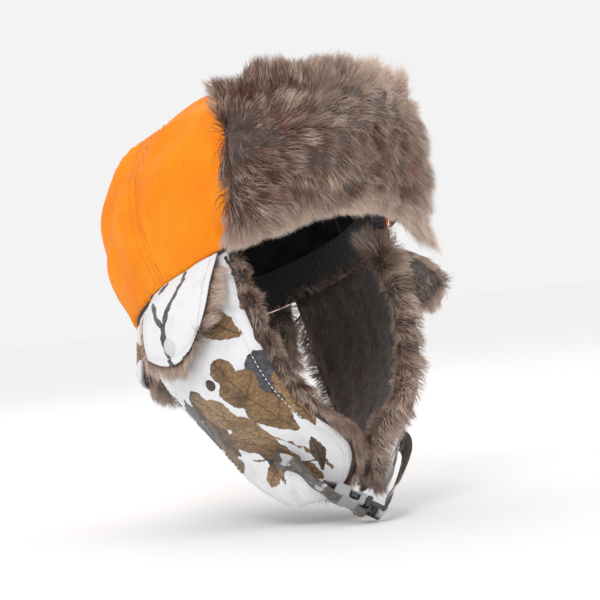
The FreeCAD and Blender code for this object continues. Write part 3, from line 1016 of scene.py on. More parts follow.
@dataclass(frozen=True)
class Nylon(Finish):
    """Bright tightly woven cloth with small puckers, faint fading and a soft sheen."""

    colour: Colour = (0.93, 0.235, 0.004)
    faded: Colour = (0.96, 0.315, 0.010)
    weave: float = 0.0007

    def write(self, nodes: Nodes) -> None:
        """Colour clouds over a plain weave, with crease lines from stretched noise.

        Args:
            nodes: The material's tree.
        """
        place, cloth = nodes.object_place(), nodes.cloth_place()
        clouds = nodes.noise(place, 28.0, 4.0, 0.6)
        fine = nodes.noise(cloth, 1400.0, 2.0)
        colour = nodes.mix(nodes.span(clouds, 0.35, 0.75), self.colour, self.faded)
        colour = nodes.mix(nodes.span(fine, 0.3, 0.9, 0.0, 0.16), colour, (0.75, 0.14, 0.0))
        stretched = nodes.vector("MULTIPLY", cloth, (1.0, 0.32, 1.0))
        crease = nodes.noise(stretched, 75.0, 3.0, 0.55)
        folds = nodes.bump(nodes.span(crease, 0.3, 0.7), 0.0028, 0.9)
        grain = nodes.bump(weave_height(nodes, cloth, self.weave), 0.0001, 0.5, folds)
        nodes.surface(Base_Color=colour, Normal=grain, Sheen_Weight=0.02, Sheen_Roughness=0.5,
                      Roughness=nodes.span(clouds, 0.2, 0.8, 0.60, 0.76),
                      Specular_IOR_Level=0.16)


@dataclass(frozen=True)
class Leaf:
    """One printed leaf: its middle, turn and size on the cloth, lobes and shade."""

    x: float
    y: float
    turn: float
    length: float
    width: float
    lobes: float = 4.0
    colour: Colour = (0.225, 0.118, 0.047)


@dataclass(frozen=True)
class Twig:
    """One printed twig: two ends on the cloth and a thickness."""

    start: tuple[float, float]
    end: tuple[float, float]
    thickness: float = 0.0012
    colour: Colour = (0.035, 0.038, 0.036)


def leaf_group() -> bpy.types.NodeTree:
    """A group that draws one leaf.

    With s the share along the leaf, the half width is width * sqrt(4 s (1-s)) * (0.62 + 0.38
    |sin(pi lobes s)|); the mask is where |y| is less. Veins run along y = 0 and slant to the lobes.

    Returns:
        The group.
    """
    found = bpy.data.node_groups.get("printed_leaf")
    if found:
        return found
    group = bpy.data.node_groups.new("printed_leaf", "ShaderNodeTree")
    nodes = Nodes(group)
    for label, kind in (("Place", "NodeSocketVector"), ("Centre", "NodeSocketVector"),
                        ("Turn", "NodeSocketFloat"), ("Length", "NodeSocketFloat"),
                        ("Width", "NodeSocketFloat"), ("Lobes", "NodeSocketFloat")):
        group.interface.new_socket(label, in_out="INPUT", socket_type=kind)
    for label in ("Mask", "Vein", "Rim"):
        group.interface.new_socket(label, in_out="OUTPUT", socket_type="NodeSocketFloat")
    entry = group.nodes.new("NodeGroupInput").outputs
    local = nodes.vector("SUBTRACT", entry["Place"], entry["Centre"])
    local = nodes.add("VectorRotate", {"Vector": local, "Angle": entry["Turn"]}, rotation_type="Z_AXIS")
    x, y, _ = nodes.axes(local)
    share = nodes.math("ADD", nodes.math("DIVIDE", x, entry["Length"]), 0.5, clamp=True)
    envelope = nodes.math("MULTIPLY", share, nodes.math("SUBTRACT", 1.0, share))
    envelope = nodes.math("SQRT", nodes.math("MULTIPLY", envelope, 4.0))
    height = nodes.math("ABSOLUTE", y)
    slant = nodes.math("SUBTRACT", share, nodes.math("DIVIDE", height, nodes.math(
        "MULTIPLY", entry["Length"], 1.3)))
    turns = nodes.math("MULTIPLY", nodes.math("MULTIPLY", slant, entry["Lobes"]), math.pi)
    wave = nodes.math("ABSOLUTE", nodes.math("SINE", turns))
    half = nodes.math("MULTIPLY", nodes.math("MULTIPLY", entry["Width"], envelope),
                      nodes.math("MULTIPLY_ADD", wave, 0.38, 0.62))
    depth = nodes.math("SUBTRACT", half, height)
    mask = nodes.span(depth, 0.0, 0.0005)
    middle = nodes.span(height, 0.0003, 0.0008, 1.0, 0.0)
    ribs = nodes.span(nodes.math("ABSOLUTE", nodes.math("COSINE", turns)), 0.05, 0.16, 0.75, 0.0)
    vein = nodes.math("MAXIMUM", middle, ribs)
    leave = group.nodes.new("NodeGroupOutput")
    for socket, value in (("Mask", mask), ("Vein", vein), ("Rim", depth)):
        group.links.new(value, leave.inputs[socket])
    return group


@dataclass(frozen=True)
class LeafCloth(Finish):
    """Off-white brushed cloth printed with a generic pattern of leaves and twigs."""

    leaves: tuple[Leaf, ...] = ()
    twigs: tuple[Twig, ...] = ()
    base: Colour = (0.80, 0.80, 0.82)
    stain: Colour = (0.52, 0.53, 0.56)

    def write(self, nodes: Nodes) -> None:
        """Each leaf and twig is a mask over the last colour, on places that noise pushes about.

        Args:
            nodes: The material's tree.
        """
        cloth = nodes.cloth_place()
        noise = nodes.add("TexNoise", {"Vector": cloth, "Scale": 130.0, "Detail": 3.0}, out="Color")
        wander = nodes.vector("SCALE", nodes.vector("SUBTRACT", noise, (0.5, 0.5, 0.5)))
        wander.node.inputs["Scale"].default_value = 0.0065
        place = nodes.vector("ADD", cloth, wander)
        clouds = nodes.noise(cloth, 38.0, 4.0, 0.6)
        speckle = nodes.noise(cloth, 420.0, 2.0, 0.6)
        colour = nodes.mix(nodes.span(clouds, 0.52, 0.72, 0.0, 0.55), self.base, self.stain)
        for twig in self.twigs:
            colour = self.draw_twig(nodes, place, speckle, colour, twig)
        for leaf in self.leaves:
            colour = self.draw_leaf(nodes, place, speckle, clouds, colour, leaf)
        fibre = nodes.noise(nodes.vector("MULTIPLY", cloth, (1.0, 0.35, 1.0)), 2600.0, 2.0)
        folds = nodes.bump(nodes.noise(cloth, 55.0, 3.0, 0.5), 0.0016, 0.6)
        grain = nodes.bump(nodes.math("MULTIPLY", weave_height(nodes, cloth, 0.0008), fibre),
                           0.00016, 0.6, folds)
        nodes.surface(Base_Color=colour, Normal=grain, Sheen_Weight=0.35, Sheen_Roughness=0.55,
                      Roughness=nodes.span(fibre, 0.2, 0.8, 0.74, 0.9), Specular_IOR_Level=0.25)

    def draw_leaf(self, nodes: Nodes, place: Socket, speckle: Socket, clouds: Socket,
                  under: Socket, leaf: Leaf) -> Socket:
        """One leaf, lighter along its middle, with dark veins and a worn rim.

        Args:
            nodes: The material's tree.
            place: Where it is drawn.
            speckle, clouds: Noise.
            under: The colour below.
            leaf: The leaf.

        Returns:
            The colour.
        """
        node = nodes.tree.nodes.new("ShaderNodeGroup")
        node.node_tree = leaf_group()
        nodes.tree.links.new(place, node.inputs["Place"])
        node.inputs["Centre"].default_value = (leaf.x, leaf.y, 0.0)
        for key, value in (("Turn", math.radians(leaf.turn)), ("Length", leaf.length),
                           ("Width", leaf.width), ("Lobes", leaf.lobes)):
            node.inputs[key].default_value = value
        light = tuple(min(1.0, 1.75 * c + 0.03) for c in leaf.colour)
        dark = tuple(0.28 * c for c in leaf.colour)
        tone = nodes.mix(nodes.span(speckle, 0.40, 0.72), leaf.colour, light)
        tone = nodes.mix(nodes.span(clouds, 0.36, 0.50, 0.7, 0.0), tone, dark)
        tone = nodes.mix(nodes.math("MULTIPLY", node.outputs["Vein"], 0.7), tone, dark)
        tone = nodes.mix(nodes.span(node.outputs["Rim"], 0.0, 0.0011, 0.75, 0.0), tone, dark)
        holes = nodes.math("MULTIPLY", node.outputs["Mask"], nodes.span(speckle, 0.20, 0.27))
        return nodes.mix(holes, under, tone)

    def draw_twig(self, nodes: Nodes, place: Socket, speckle: Socket, under: Socket,
                  twig: Twig) -> Socket:
        """A line: the distance to the segment is compared with the thickness.

        Args:
            nodes: The material's tree.
            place: Where it is drawn.
            speckle: Noise.
            under: The colour below.
            twig: The twig.

        Returns:
            The colour.
        """
        start = (twig.start[0], twig.start[1], 0.0)
        run = (twig.end[0] - start[0], twig.end[1] - start[1], 0.0)
        span = run[0] ** 2 + run[1] ** 2
        rel = nodes.vector("SUBTRACT", place, start)
        along = nodes.math("DIVIDE", nodes.vector("DOT_PRODUCT", rel, run, out=1), span, clamp=True)
        foot = nodes.vector("SCALE", run)
        nodes.tree.links.new(along, foot.node.inputs["Scale"])
        distance = nodes.vector("LENGTH", nodes.vector("SUBTRACT", rel, foot), out=1)
        rough = nodes.math("MULTIPLY", nodes.span(speckle, 0.3, 0.7, 0.75, 1.15), twig.thickness)
        mask = nodes.span(nodes.math("SUBTRACT", rough, distance), -0.0002, 0.0003)
        bark = nodes.mix(nodes.span(speckle, 0.5, 0.75), twig.colour, (0.16, 0.15, 0.14))
        return nodes.mix(mask, under, bark)


@dataclass(frozen=True)
class FurStrands(Finish):
    """Long pile: dark roots, warm brown middles and pale tips, shaded strand by strand, with painted shade in
    patches for the gaps between tufts.
    """

    root: Colour = (0.045, 0.024, 0.018)
    middle: Colour = (0.195, 0.102, 0.072)
    tip: Colour = (0.430, 0.275, 0.205)
    red: Colour = (0.250, 0.070, 0.042)
    fair: Colour = (0.640, 0.470, 0.380)
    cream: Colour = (0.95, 0.78, 0.66)

    def write(self, nodes: Nodes) -> None:
        """Ramps over the strand's length, mixed by its own shade and by how pale its patch is.

        Args:
            nodes: The material's tree.
        """
        coat = nodes.add("Attribute", out="Color", attribute_name="coat")
        parts = nodes.add("SeparateColor", {0: coat}).node.outputs
        share, shade, pale = parts[0], parts[1], parts[2]
        dark = nodes.ramp(share, [(0.0, self.root), (0.4, self.middle), (0.85, self.tip)])
        warm = nodes.ramp(share, [(0.0, self.root), (0.45, self.red), (0.95, self.tip)])
        light = nodes.ramp(share, [(0.0, self.middle), (0.35, self.fair), (0.8, self.cream)])
        patches = nodes.noise(nodes.object_place(), 42.0, 3.0, 0.55)
        colour = nodes.mix(nodes.span(patches, 0.40, 0.66), dark, warm)
        colour = nodes.mix(nodes.span(shade, 0.55, 0.95, 0.0, 0.75), colour, light)
        tufts = nodes.noise(nodes.object_place(), 105.0, 3.0, 0.6)
        # Dark patches for the gaps between tufts: dark roots, and painted shade.
        colour = nodes.mix(nodes.span(tufts, 0.34, 0.52, 0.55, 0.0), colour, self.root)
        colour = nodes.mix(nodes.span(tufts, 0.57, 0.72, 0.0, 0.50), colour, light)
        colour = nodes.mix(nodes.span(shade, 0.0, 0.40, 0.72, 0.0), colour, self.root)
        colour = nodes.mix(nodes.span(pale, 0.0, 1.0, 0.0, 0.92), colour, light)
        nodes.surface(Base_Color=colour, Roughness=nodes.span(shade, 0.0, 1.0, 0.66, 0.52),
                      Specular_IOR_Level=0.22, Sheen_Weight=0.03, Sheen_Roughness=0.45)


@dataclass(frozen=True)
class FurPile(Finish):
    """The close underfur between the long strands."""

    low: Colour = (0.030, 0.016, 0.011)
    high: Colour = (0.13, 0.072, 0.052)

    def write(self, nodes: Nodes) -> None:
        """Streaky noise, stretched along the pile, for colour and height; the lower pile is darker, as
        painted shade.

        Args:
            nodes: The material's tree.
        """
        place = nodes.object_place()
        streaks = nodes.noise(nodes.vector("MULTIPLY", place, (1.0, 1.0, 0.3)), 900.0, 4.0, 0.65)
        clumps = nodes.noise(place, 160.0, 3.0, 0.55)
        # Darker where the streaks and clumps are low: streaky tone, and painted shade in the pile's hollows.
        colour = nodes.mix(nodes.span(nodes.math("MULTIPLY", streaks, clumps), 0.14, 0.42),
                           self.low, self.high)
        bump = nodes.bump(streaks, 0.0012, 1.0, nodes.bump(clumps, 0.003, 0.8))
        nodes.surface(Base_Color=colour, Normal=bump, Sheen_Weight=0.3, Sheen_Roughness=0.6,
                      Roughness=nodes.span(streaks, 0.2, 0.8, 0.95, 0.8))


@dataclass(frozen=True)
class Quilting(Finish):
    """Smooth dark lining cloth with a fine slanting twill."""

    low: Colour = (0.006, 0.006, 0.007)
    high: Colour = (0.018, 0.018, 0.021)
    pitch: float = 0.0009

    def write(self, nodes: Nodes) -> None:
        """A sine across the slanted threads, over soft colour clouds.

        Args:
            nodes: The material's tree.
        """
        cloth = nodes.cloth_place()
        across, along, _ = nodes.axes(cloth)
        rib = nodes.wave(nodes.math("ADD", across, along), self.pitch)
        clouds = nodes.noise(cloth, 60.0, 3.0)
        colour = nodes.mix(nodes.span(clouds, 0.3, 0.75), self.low, self.high)
        bump = nodes.bump(rib, 0.0001, 0.6, nodes.bump(clouds, 0.0012, 0.5))
        nodes.surface(Base_Color=colour, Normal=bump, Sheen_Weight=0.15, Sheen_Roughness=0.4,
                      Roughness=nodes.span(clouds, 0.2, 0.8, 0.5, 0.62))


@dataclass(frozen=True)
class Knit(Finish):
    """A ribbed knit: rows of small loops, painted darker in the grooves between them as shade."""

    low: Colour = (0.018, 0.018, 0.021)
    high: Colour = (0.075, 0.075, 0.082)
    rib: float = 0.0030
    row: float = 0.0016

    def write(self, nodes: Nodes) -> None:
        """Ribs are |sin| across, loops a sine along that shifts with the rib.

        Args:
            nodes: The material's tree.
        """
        across, along, _ = nodes.axes(nodes.cloth_place())
        rib = nodes.math("ABSOLUTE", nodes.math("SINE", nodes.math("MULTIPLY", across, math.pi / self.rib)))
        shift = nodes.math("MULTIPLY_ADD", rib, self.row * 0.8, along)
        loop = nodes.wave(shift, self.row)
        height = nodes.math("MULTIPLY", rib, nodes.math("MULTIPLY_ADD", loop, 0.55, 0.45))
        fuzz = nodes.noise(nodes.object_place(), 700.0, 3.0, 0.7)
        # The colour follows the loop height times random fuzz: painted shade in the grooves between ribs and
        # loops.
        tone = nodes.math("MULTIPLY", height, nodes.span(fuzz, 0.2, 0.8, 0.55, 1.0))
        nodes.surface(Base_Color=nodes.mix(tone, self.low, self.high),
                      Normal=nodes.bump(height, 0.0006, 0.9), Sheen_Weight=0.4,
                      Roughness=nodes.span(fuzz, 0.2, 0.8, 0.78, 0.95))


@dataclass(frozen=True)
class Webbing(Finish):
    """Flat woven webbing: ribs across, slanting threads, printed in soft patches, with painted shade between
    the threads.
    """

    colours: tuple[Colour, ...] = ((0.075, 0.058, 0.048), (0.20, 0.155, 0.125),
                                   (0.13, 0.13, 0.135), (0.66, 0.66, 0.68))
    rib: float = 0.0011

    def write(self, nodes: Nodes) -> None:
        """Herringbone height from two sines; the print is noise cut into steps.

        Args:
            nodes: The material's tree.
        """
        cloth = nodes.cloth_place()
        across, along, _ = nodes.axes(cloth)
        slanted = nodes.math("ADD", along, nodes.math("ABSOLUTE", nodes.math(
            "SUBTRACT", nodes.math("PINGPONG", across, 0.0019), 0.00095)))
        thread = nodes.wave(slanted, self.rib)
        print_a = nodes.noise(cloth, 95.0, 3.0, 0.55)
        print_b = nodes.noise(nodes.vector("ADD", cloth, (0.3, 0.1, 0.0)), 70.0, 2.0, 0.5)
        dark, brown, slate, white = self.colours
        colour = nodes.mix(nodes.span(print_a, 0.46, 0.52), dark, brown)
        colour = nodes.mix(nodes.span(print_b, 0.53, 0.57), colour, slate)
        colour = nodes.mix(nodes.span(print_b, 0.60, 0.63), colour, white)
        # Near-black where the thread height is low: painted shade between the threads.
        colour = nodes.mix(nodes.span(thread, 0.0, 0.5, 0.45, 0.0), colour, (0.02, 0.017, 0.015))
        nodes.surface(Base_Color=colour, Normal=nodes.bump(thread, 0.0003, 0.9),
                      Roughness=nodes.span(thread, 0.0, 1.0, 0.85, 0.68), Sheen_Weight=0.2)


@dataclass(frozen=True)
class MouldedPlastic(Finish):
    """Satin moulded plastic with a fine spark grain and rubbed patches."""

    colour: Colour = (0.205, 0.212, 0.22)
    rubbed: Colour = (0.33, 0.335, 0.34)

    def write(self, nodes: Nodes) -> None:
        """Fine grain for height, broad clouds for rubbing.

        Args:
            nodes: The material's tree.
        """
        place = nodes.object_place()
        grain = nodes.noise(place, 3800.0, 2.0, 0.6)
        clouds = nodes.noise(place, 210.0, 4.0, 0.6)
        scratches = nodes.noise(nodes.vector("MULTIPLY", place, (1.0, 7.0, 1.0)), 420.0, 2.0, 0.7)
        colour = nodes.mix(nodes.span(clouds, 0.45, 0.75), self.colour, self.rubbed)
        colour = nodes.mix(nodes.span(scratches, 0.66, 0.74, 0.0, 0.35), colour, (0.42, 0.42, 0.42))
        nodes.surface(Base_Color=colour, Normal=nodes.bump(grain, 0.00006, 0.7),
                      Roughness=nodes.span(clouds, 0.3, 0.75, 0.46, 0.30), Coat_Weight=0.08,
                      Coat_Roughness=0.3)


@dataclass(frozen=True)
class SnapMetal(Finish):
    """Lacquered metal, worn bright in noisy patches."""

    colour: Colour = (0.055, 0.036, 0.028)
    worn: Colour = (0.23, 0.165, 0.12)

    def write(self, nodes: Nodes) -> None:
        """Wear from noise cut high; fine scratches in the roughness and the height.

        Args:
            nodes: The material's tree.
        """
        place = nodes.object_place()
        clouds = nodes.noise(place, 480.0, 4.0, 0.65)
        fine = nodes.noise(place, 4200.0, 2.0, 0.6)
        colour = nodes.mix(nodes.span(clouds, 0.56, 0.68), self.colour, self.worn)
        nodes.surface(Base_Color=colour, Metallic=0.85, Normal=nodes.bump(fine, 0.00004, 0.6),
                      Roughness=nodes.span(clouds, 0.3, 0.7, 0.42, 0.24), Coat_Weight=0.3,
                      Coat_Roughness=0.2)


@dataclass(frozen=True)
class OpenMesh(Finish):
    """Stretch mesh: a honeycomb of threads round small holes that are painted near-black as shade."""

    thread: Colour = (0.10, 0.095, 0.09)
    # Near-black painted shade for the holes, which are not cut through.
    hole: Colour = (0.008, 0.008, 0.009)
    pitch: float = 0.0017

    def write(self, nodes: Nodes) -> None:
        """Distance to the nearest cell edge, thick where the threads are.

        Args:
            nodes: The material's tree.
        """
        place = nodes.object_place()
        edge = nodes.add("TexVoronoi", {"Vector": place, "Scale": 1 / self.pitch,
                                        "Randomness": 0.25}, feature="DISTANCE_TO_EDGE")
        thread = nodes.span(edge, 0.14, 0.24, 1.0, 0.0)
        fuzz = nodes.noise(place, 2600.0, 2.0)
        # Threads over the holes' painted shade.
        colour = nodes.mix(thread, self.hole, nodes.mix(fuzz, self.thread, (0.2, 0.19, 0.18)))
        nodes.surface(Base_Color=colour, Normal=nodes.bump(thread, 0.0005, 1.0),
                      Roughness=nodes.span(fuzz, 0.2, 0.8, 0.9, 0.7))


@dataclass(frozen=True)
class Fleece(Finish):
    """Matted white filling."""

    colour: Colour = (0.62, 0.61, 0.58)

    def write(self, nodes: Nodes) -> None:
        """Soft tangled noise.

        Args:
            nodes: The material's tree.
        """
        place = nodes.object_place()
        tangle = nodes.noise(place, 520.0, 5.0, 0.7)
        colour = nodes.mix(nodes.span(tangle, 0.3, 0.7), self.colour, (0.78, 0.77, 0.75))
        nodes.surface(Base_Color=colour, Normal=nodes.bump(tangle, 0.001, 1.0), Roughness=0.95,
                      Sheen_Weight=0.3)


@dataclass(frozen=True)
class Thread(Finish):
    """Twisted sewing thread, with a painted highlight on the raised bands of its twist."""

    colour: Colour = (0.80, 0.20, 0.01)

    def write(self, nodes: Nodes) -> None:
        """Fine slanted bands for the twist.

        Args:
            nodes: The material's tree.
        """
        twist = nodes.add("TexWave", {"Vector": nodes.object_place(), "Scale": 900.0,
                                      "Distortion": 1.0}, out="Fac")
        pale = tuple(min(1.0, 1.4 * c + 0.02) for c in self.colour)
        # The raised bands of the twist are paler: painted highlight.
        nodes.surface(Base_Color=nodes.mix(twist, self.colour, pale), Roughness=0.6,
                      Normal=nodes.bump(twist, 0.0001, 0.7), Sheen_Weight=0.2)


@dataclass(frozen=True)
class Studio(Finish):
    """Seamless pale paper."""

    colour: Colour = (0.975, 0.975, 0.975)

    def write(self, nodes: Nodes) -> None:
        """Paper grain.

        Args:
            nodes: The material's tree.
        """
        grain = nodes.noise(nodes.object_place(), 260.0, 3.0)
        colour = nodes.mix(nodes.span(grain, 0.3, 0.7, 0.0, 0.05), self.colour, (0.94, 0.94, 0.94))
        nodes.surface(Base_Color=colour, Roughness=0.85, Normal=nodes.bump(grain, 0.0003, 0.2))


# ---- cloth pieces
ORANGE = Nylon("orange_cloth")
LINING = Quilting("lining_cloth")
KNIT = Knit("band_knit")
FLEECE = Fleece("fleece_filling")
STRANDS = FurStrands("fur_strands")
PILE = FurPile("fur_pile")
WEBBING = Webbing("strap_webbing")
PLASTIC = MouldedPlastic("buckle_plastic")
CAP_ENAMEL = MouldedPlastic("cap_enamel", (0.62, 0.62, 0.64), (0.70, 0.70, 0.72))
DARK_PLASTIC = MouldedPlastic("dark_plastic", (0.030, 0.030, 0.033), (0.075, 0.075, 0.08))
METAL = SnapMetal("snap_metal")
MESH = OpenMesh("port_mesh")
ORANGE_THREAD = Thread("orange_thread")
GREY_THREAD = Thread("grey_thread", (0.72, 0.72, 0.73))
FRAME: dict = {}
SLATE: Colour = (0.052, 0.050, 0.060)
BROWN: Colour = (0.175, 0.098, 0.040)
TAN: Colour = (0.225, 0.135, 0.062)
DEEP: Colour = (0.085, 0.050, 0.028)
FLAP_CLOTH = LeafCloth("leaf_cloth_flap", twigs=(
    Twig((0.012, 0.128), (0.034, 0.176), 0.0012, BROWN), Twig((-0.020, 0.142), (0.030, 0.168), 0.0010, BROWN),
    Twig((0.000, 0.140), (-0.012, 0.166), 0.0011, BROWN), Twig((-0.060, 0.020), (-0.045, 0.075), 0.0014),
    Twig((0.050, 0.005), (0.058, 0.050), 0.0012),
), leaves=(
    Leaf(0.044, 0.098, 85, 0.048, 0.0150, 1.6, SLATE),
    Leaf(-0.036, 0.098, 62, 0.050, 0.0130, 2.2, SLATE),
    Leaf(0.000, 0.150, 40, 0.030, 0.0120, 1.8, SLATE),
    Leaf(0.034, 0.047, 128, 0.034, 0.0100, 1.05, BROWN),
    Leaf(-0.034, 0.124, 52, 0.052, 0.0120, 3.6, BROWN),
    Leaf(0.050, 0.116, 84, 0.050, 0.0072, 2.0, TAN),
    Leaf(-0.018, 0.104, 72, 0.062, 0.0135, 4.2, DEEP),
    Leaf(-0.004, 0.136, 128, 0.060, 0.0110, 2.4, BROWN),
    Leaf(0.000, 0.110, 110, 0.068, 0.0138, 2.6, TAN),
    Leaf(0.028, 0.102, 101, 0.072, 0.0160, 2.8, BROWN),
    Leaf(-0.014, 0.158, 20, 0.036, 0.0060, 1.1, TAN),
    Leaf(0.014, 0.166, 128, 0.034, 0.0058, 1.1, BROWN),
    Leaf(0.030, 0.160, 70, 0.028, 0.0056, 1.1, DEEP),
    Leaf(-0.062, 0.082, 78, 0.044, 0.0110, 4.0, BROWN),
    Leaf(0.066, 0.040, 12, 0.036, 0.0100, 3.6, TAN),
    Leaf(-0.062, 0.030, 40, 0.038, 0.0100, 3.6, DEEP),
))
COVER_CLOTH = LeafCloth("leaf_cloth_cover", twigs=(
    Twig((-0.004, 0.074), (-0.006, 0.038), 0.0027), Twig((-0.006, 0.038), (-0.022, 0.014), 0.0024),
    Twig((-0.006, 0.038), (0.009, 0.010), 0.0026), Twig((0.009, 0.010), (0.006, 0.002), 0.0022),
), leaves=(Leaf(-0.016, 0.004, 20, 0.012, 0.0040, 1.0, (0.02, 0.022, 0.024)),
           Leaf(0.014, 0.070, 30, 0.016, 0.0050, 1.4, SLATE)))
NECK_CLOTH = LeafCloth("leaf_cloth_neck", twigs=(
    Twig((-0.10, 0.030), (-0.06, 0.006), 0.0012), Twig((-0.02, 0.036), (0.025, 0.012), 0.0011),
    Twig((0.060, 0.034), (0.098, 0.010), 0.0012), Twig((0.02, 0.002), (0.05, 0.02), 0.0010),
), leaves=(
    Leaf(-0.080, 0.020, 20, 0.034, 0.0100, 3.6), Leaf(-0.045, 0.024, -35, 0.030, 0.0090, 3.2, SLATE),
    Leaf(-0.012, 0.018, 30, 0.036, 0.0110, 4.0), Leaf(0.030, 0.026, -20, 0.034, 0.0100, 3.4, DEEP),
    Leaf(0.068, 0.016, 15, 0.036, 0.0110, 3.8), Leaf(0.094, 0.028, 70, 0.026, 0.0080, 3.0, SLATE)))


def across_grid(low: Sequence[float], high: Sequence[float], rows: int,
                columns: int) -> tuple[Array, Array]:
    """Two parameter grids between two corners."""
    return np.meshgrid(np.linspace(low[0], high[0], rows), np.linspace(low[1], high[1], columns),
                       indexing="ij")


def put(body: str, slot: str, finish: Finish, *pieces: bpy.types.Object) -> None:
    """Dresses pieces and lets them ride on a body.

    Args:
        body: The body.
        slot: Not used.
        finish: What they are made of.
        pieces: The pieces.
    """
    finish.dress(*pieces)
    for piece in pieces:
        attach(piece, body)
        LOG.info("%s rides on %s, %d faces", piece.name, body, len(piece.data.polygons))


@dataclass(frozen=True)
class Fold:
    """A cloth fold between two bodies; joining a piece bakes its place into its mesh."""

    fixed: str
    moving: str
    start: tuple[float, ...]
    end: tuple

    def join(self, piece: bpy.types.Object, slot: str) -> None:
        """Bakes a finished piece's transform into its mesh and logs the fold.

        Args:
            piece: The piece.
            slot: Not used.
        """
        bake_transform(piece)
        LOG.info("%s bends between %s and %s", piece.name, self.fixed, self.moving)


@dataclass
class Crown:
    """The domed top: four puffed gores, their lining, rim binding, button and stitching."""

    rows: int = 82
    columns: int = 76
    puff: float = 0.0022
    seam_depth: float = 0.0021
    pucker: float = 0.0052
    quilt: float = 0.030
    binding: float = 0.0030
    quarters: tuple[str, ...] = ("front_right", "back_right", "back_left", "front_left")

    def relief(self, points: Array, angle: Array, share: Array) -> Array:
        """How far the shell stands off its plain surface.

        Seams sink as exp(-(d/2.8 mm)^2), puckers run across them and die out over 13 mm, and broad
        folds are smooth noise stretched downwards.

        Args:
            points: Places on the plain surface.
            angle, share: Their parameters.

        Returns:
            Heights in metres.
        """
        from_seam = np.abs((angle + np.pi / 4) % (np.pi / 2) - np.pi / 4) * 0.1
        from_seam = from_seam * np.clip(1.15 - share, 0.08, 1)
        sink = -self.seam_depth * np.exp(-(from_seam / 0.0028) ** 2)
        rise = share * 0.19
        beat = np.sin(rise * np.pi / self.pucker + 2.0 * ripple(points, 0.05, 3))
        pucker = 0.0008 * beat * np.exp(-from_seam / 0.013)
        folds = 0.0026 * ripple(points, 0.090, 11, (1, 1, 1.5)) \
            + 0.0036 * ripple(points, 0.040, 12, (1, 1, 1.1))
        gather = 0.0007 * np.sin(angle * 46 + 1.6 * ripple(points, 0.04, 13)) * np.exp(-rise / 0.016)
        total = self.puff * (1 - np.exp(-(from_seam / 0.020) ** 2)) + sink + pucker \
            + folds * smooth(0.0, 0.012, from_seam) * smooth(0.02, 0.16, share) + gather
        return np.maximum(total, -0.0009 + 0.0014 * smooth(0.26, 0.10, share))

    def shell(self, low: float, high: float) -> tuple[Array, Array, Array]:
        """Outer points, inner points and texture places of the gore between two angles.

        Args:
            low, high: The angles.

        Returns:
            The three grids.
        """
        angle, share = across_grid((low, 0), (high, 1), self.rows, self.columns)
        plain = FORM.layer(0.0)(angle, share)
        outer = FORM.layer(self.relief(plain, angle, share))(angle, share)
        inner = FORM.layer(-0.0012)(angle, share)
        u, w = across_grid((0, 0), (1, 1), self.rows, self.columns)
        near = margin(u, np.zeros_like(w), 0.155, 1.0, top=False)
        tuck = np.exp(-(near / 0.0011) ** 2)[..., None] * 0.55
        outer = outer * (1 - tuck) + inner * tuck
        return outer, inner, length_uv(plain)

    def lining(self, low: float, high: float) -> tuple[Array, Array, Array]:
        """The quilted inner cloth: pillows |sin| by |sin| between crossing seams.

        Args:
            low, high: The angles.

        Returns:
            Outer points, inner points and texture places.
        """
        angle, share = across_grid((low, 0), (high, 1), 46, 40)
        run_a, run_b = angle * 0.09, share * 0.18
        seams = [np.abs(np.sin(np.pi * (run_a + s * run_b) / self.quilt)) for s in (1, -1)]
        pillow = np.sqrt(seams[0] * seams[1]) * np.clip(1.1 - share, 0.1, 1)
        outer = FORM.layer(-0.0068)(angle, share)
        inner = FORM.layer(-0.0076 - 0.0022 * pillow)(angle, share)
        return outer, inner, length_uv(outer)

    def build(self) -> None:
        """Makes and dresses every piece of the crown."""
        for index, quarter in enumerate(self.quarters):
            span = (math.pi / 2 * index, math.pi / 2 * (index + 1))
            gore = closed_slab(f"crown_gore_{quarter}", *self.shell(*span))
            put("crown", "crown_cloth", ORANGE, gore)
            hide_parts(f"crown_shell_{quarter}")
            lining = closed_slab(f"crown_quilted_lining_{quarter}", *self.lining(*span))
            put("crown", "lining", LINING, lining)
            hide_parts(f"crown_lining_{quarter}")
            FLEECE.dress(FRAME["nodes"][f"crown_wadding_{quarter}"])
            self.sew(quarter, span[0])
        self.bind()
        self.top_button()

    def sew(self, quarter: str, angle: float) -> None:
        """A topstitch row on each side of one seam.

        Args:
            quarter: The gore's name.
            angle: The seam's angle.
        """
        share = np.linspace(0.02, 0.93, 240)
        for label, side in (("a", 1), ("b", -1)):
            turn = angle + side * 0.0042 / (0.1 * np.clip(1.12 - share, 0.2, 1))
            plain = FORM.layer(0.0)(turn, share)
            path = FORM.layer(self.relief(plain, turn, share) + 0.0001)(turn, share)
            row = stitches(f"crown_stitches_{quarter}_{label}", path, path - [0, 0, 0.02])
            put("crown", "crown_cloth", ORANGE_THREAD, row)

    def bind(self) -> None:
        """The turned hem round the rim: an ellipse carried along the rim, joined to itself."""
        angle = around(360)
        turn = around(14)
        middle = FORM.crown(angle, FORM.rim_height(angle) + 0.0009, -0.0036)
        out = unit(np.stack([-np.sin(angle), -np.cos(angle), np.zeros_like(angle)], -1))
        wave = 1 + 0.10 * np.sin(angle * 74 + 2 * ripple(middle, 0.04, 21))
        wide = np.cos(turn)[None] * 0.0042 * wave[:, None]
        tall = np.sin(turn)[None] * 0.0020 * wave[:, None]
        rings = middle[:, None] + out[:, None] * wide[..., None] + np.array([0, 0, 1.0]) * tall[..., None]
        uv = np.stack(np.broadcast_arrays(angle[:, None] * 0.1, turn[None] * 0.003), -1)
        hem = tube("crown_rim_hem", rings, uv, looped=True)
        put("crown", "lining", LINING, hem)

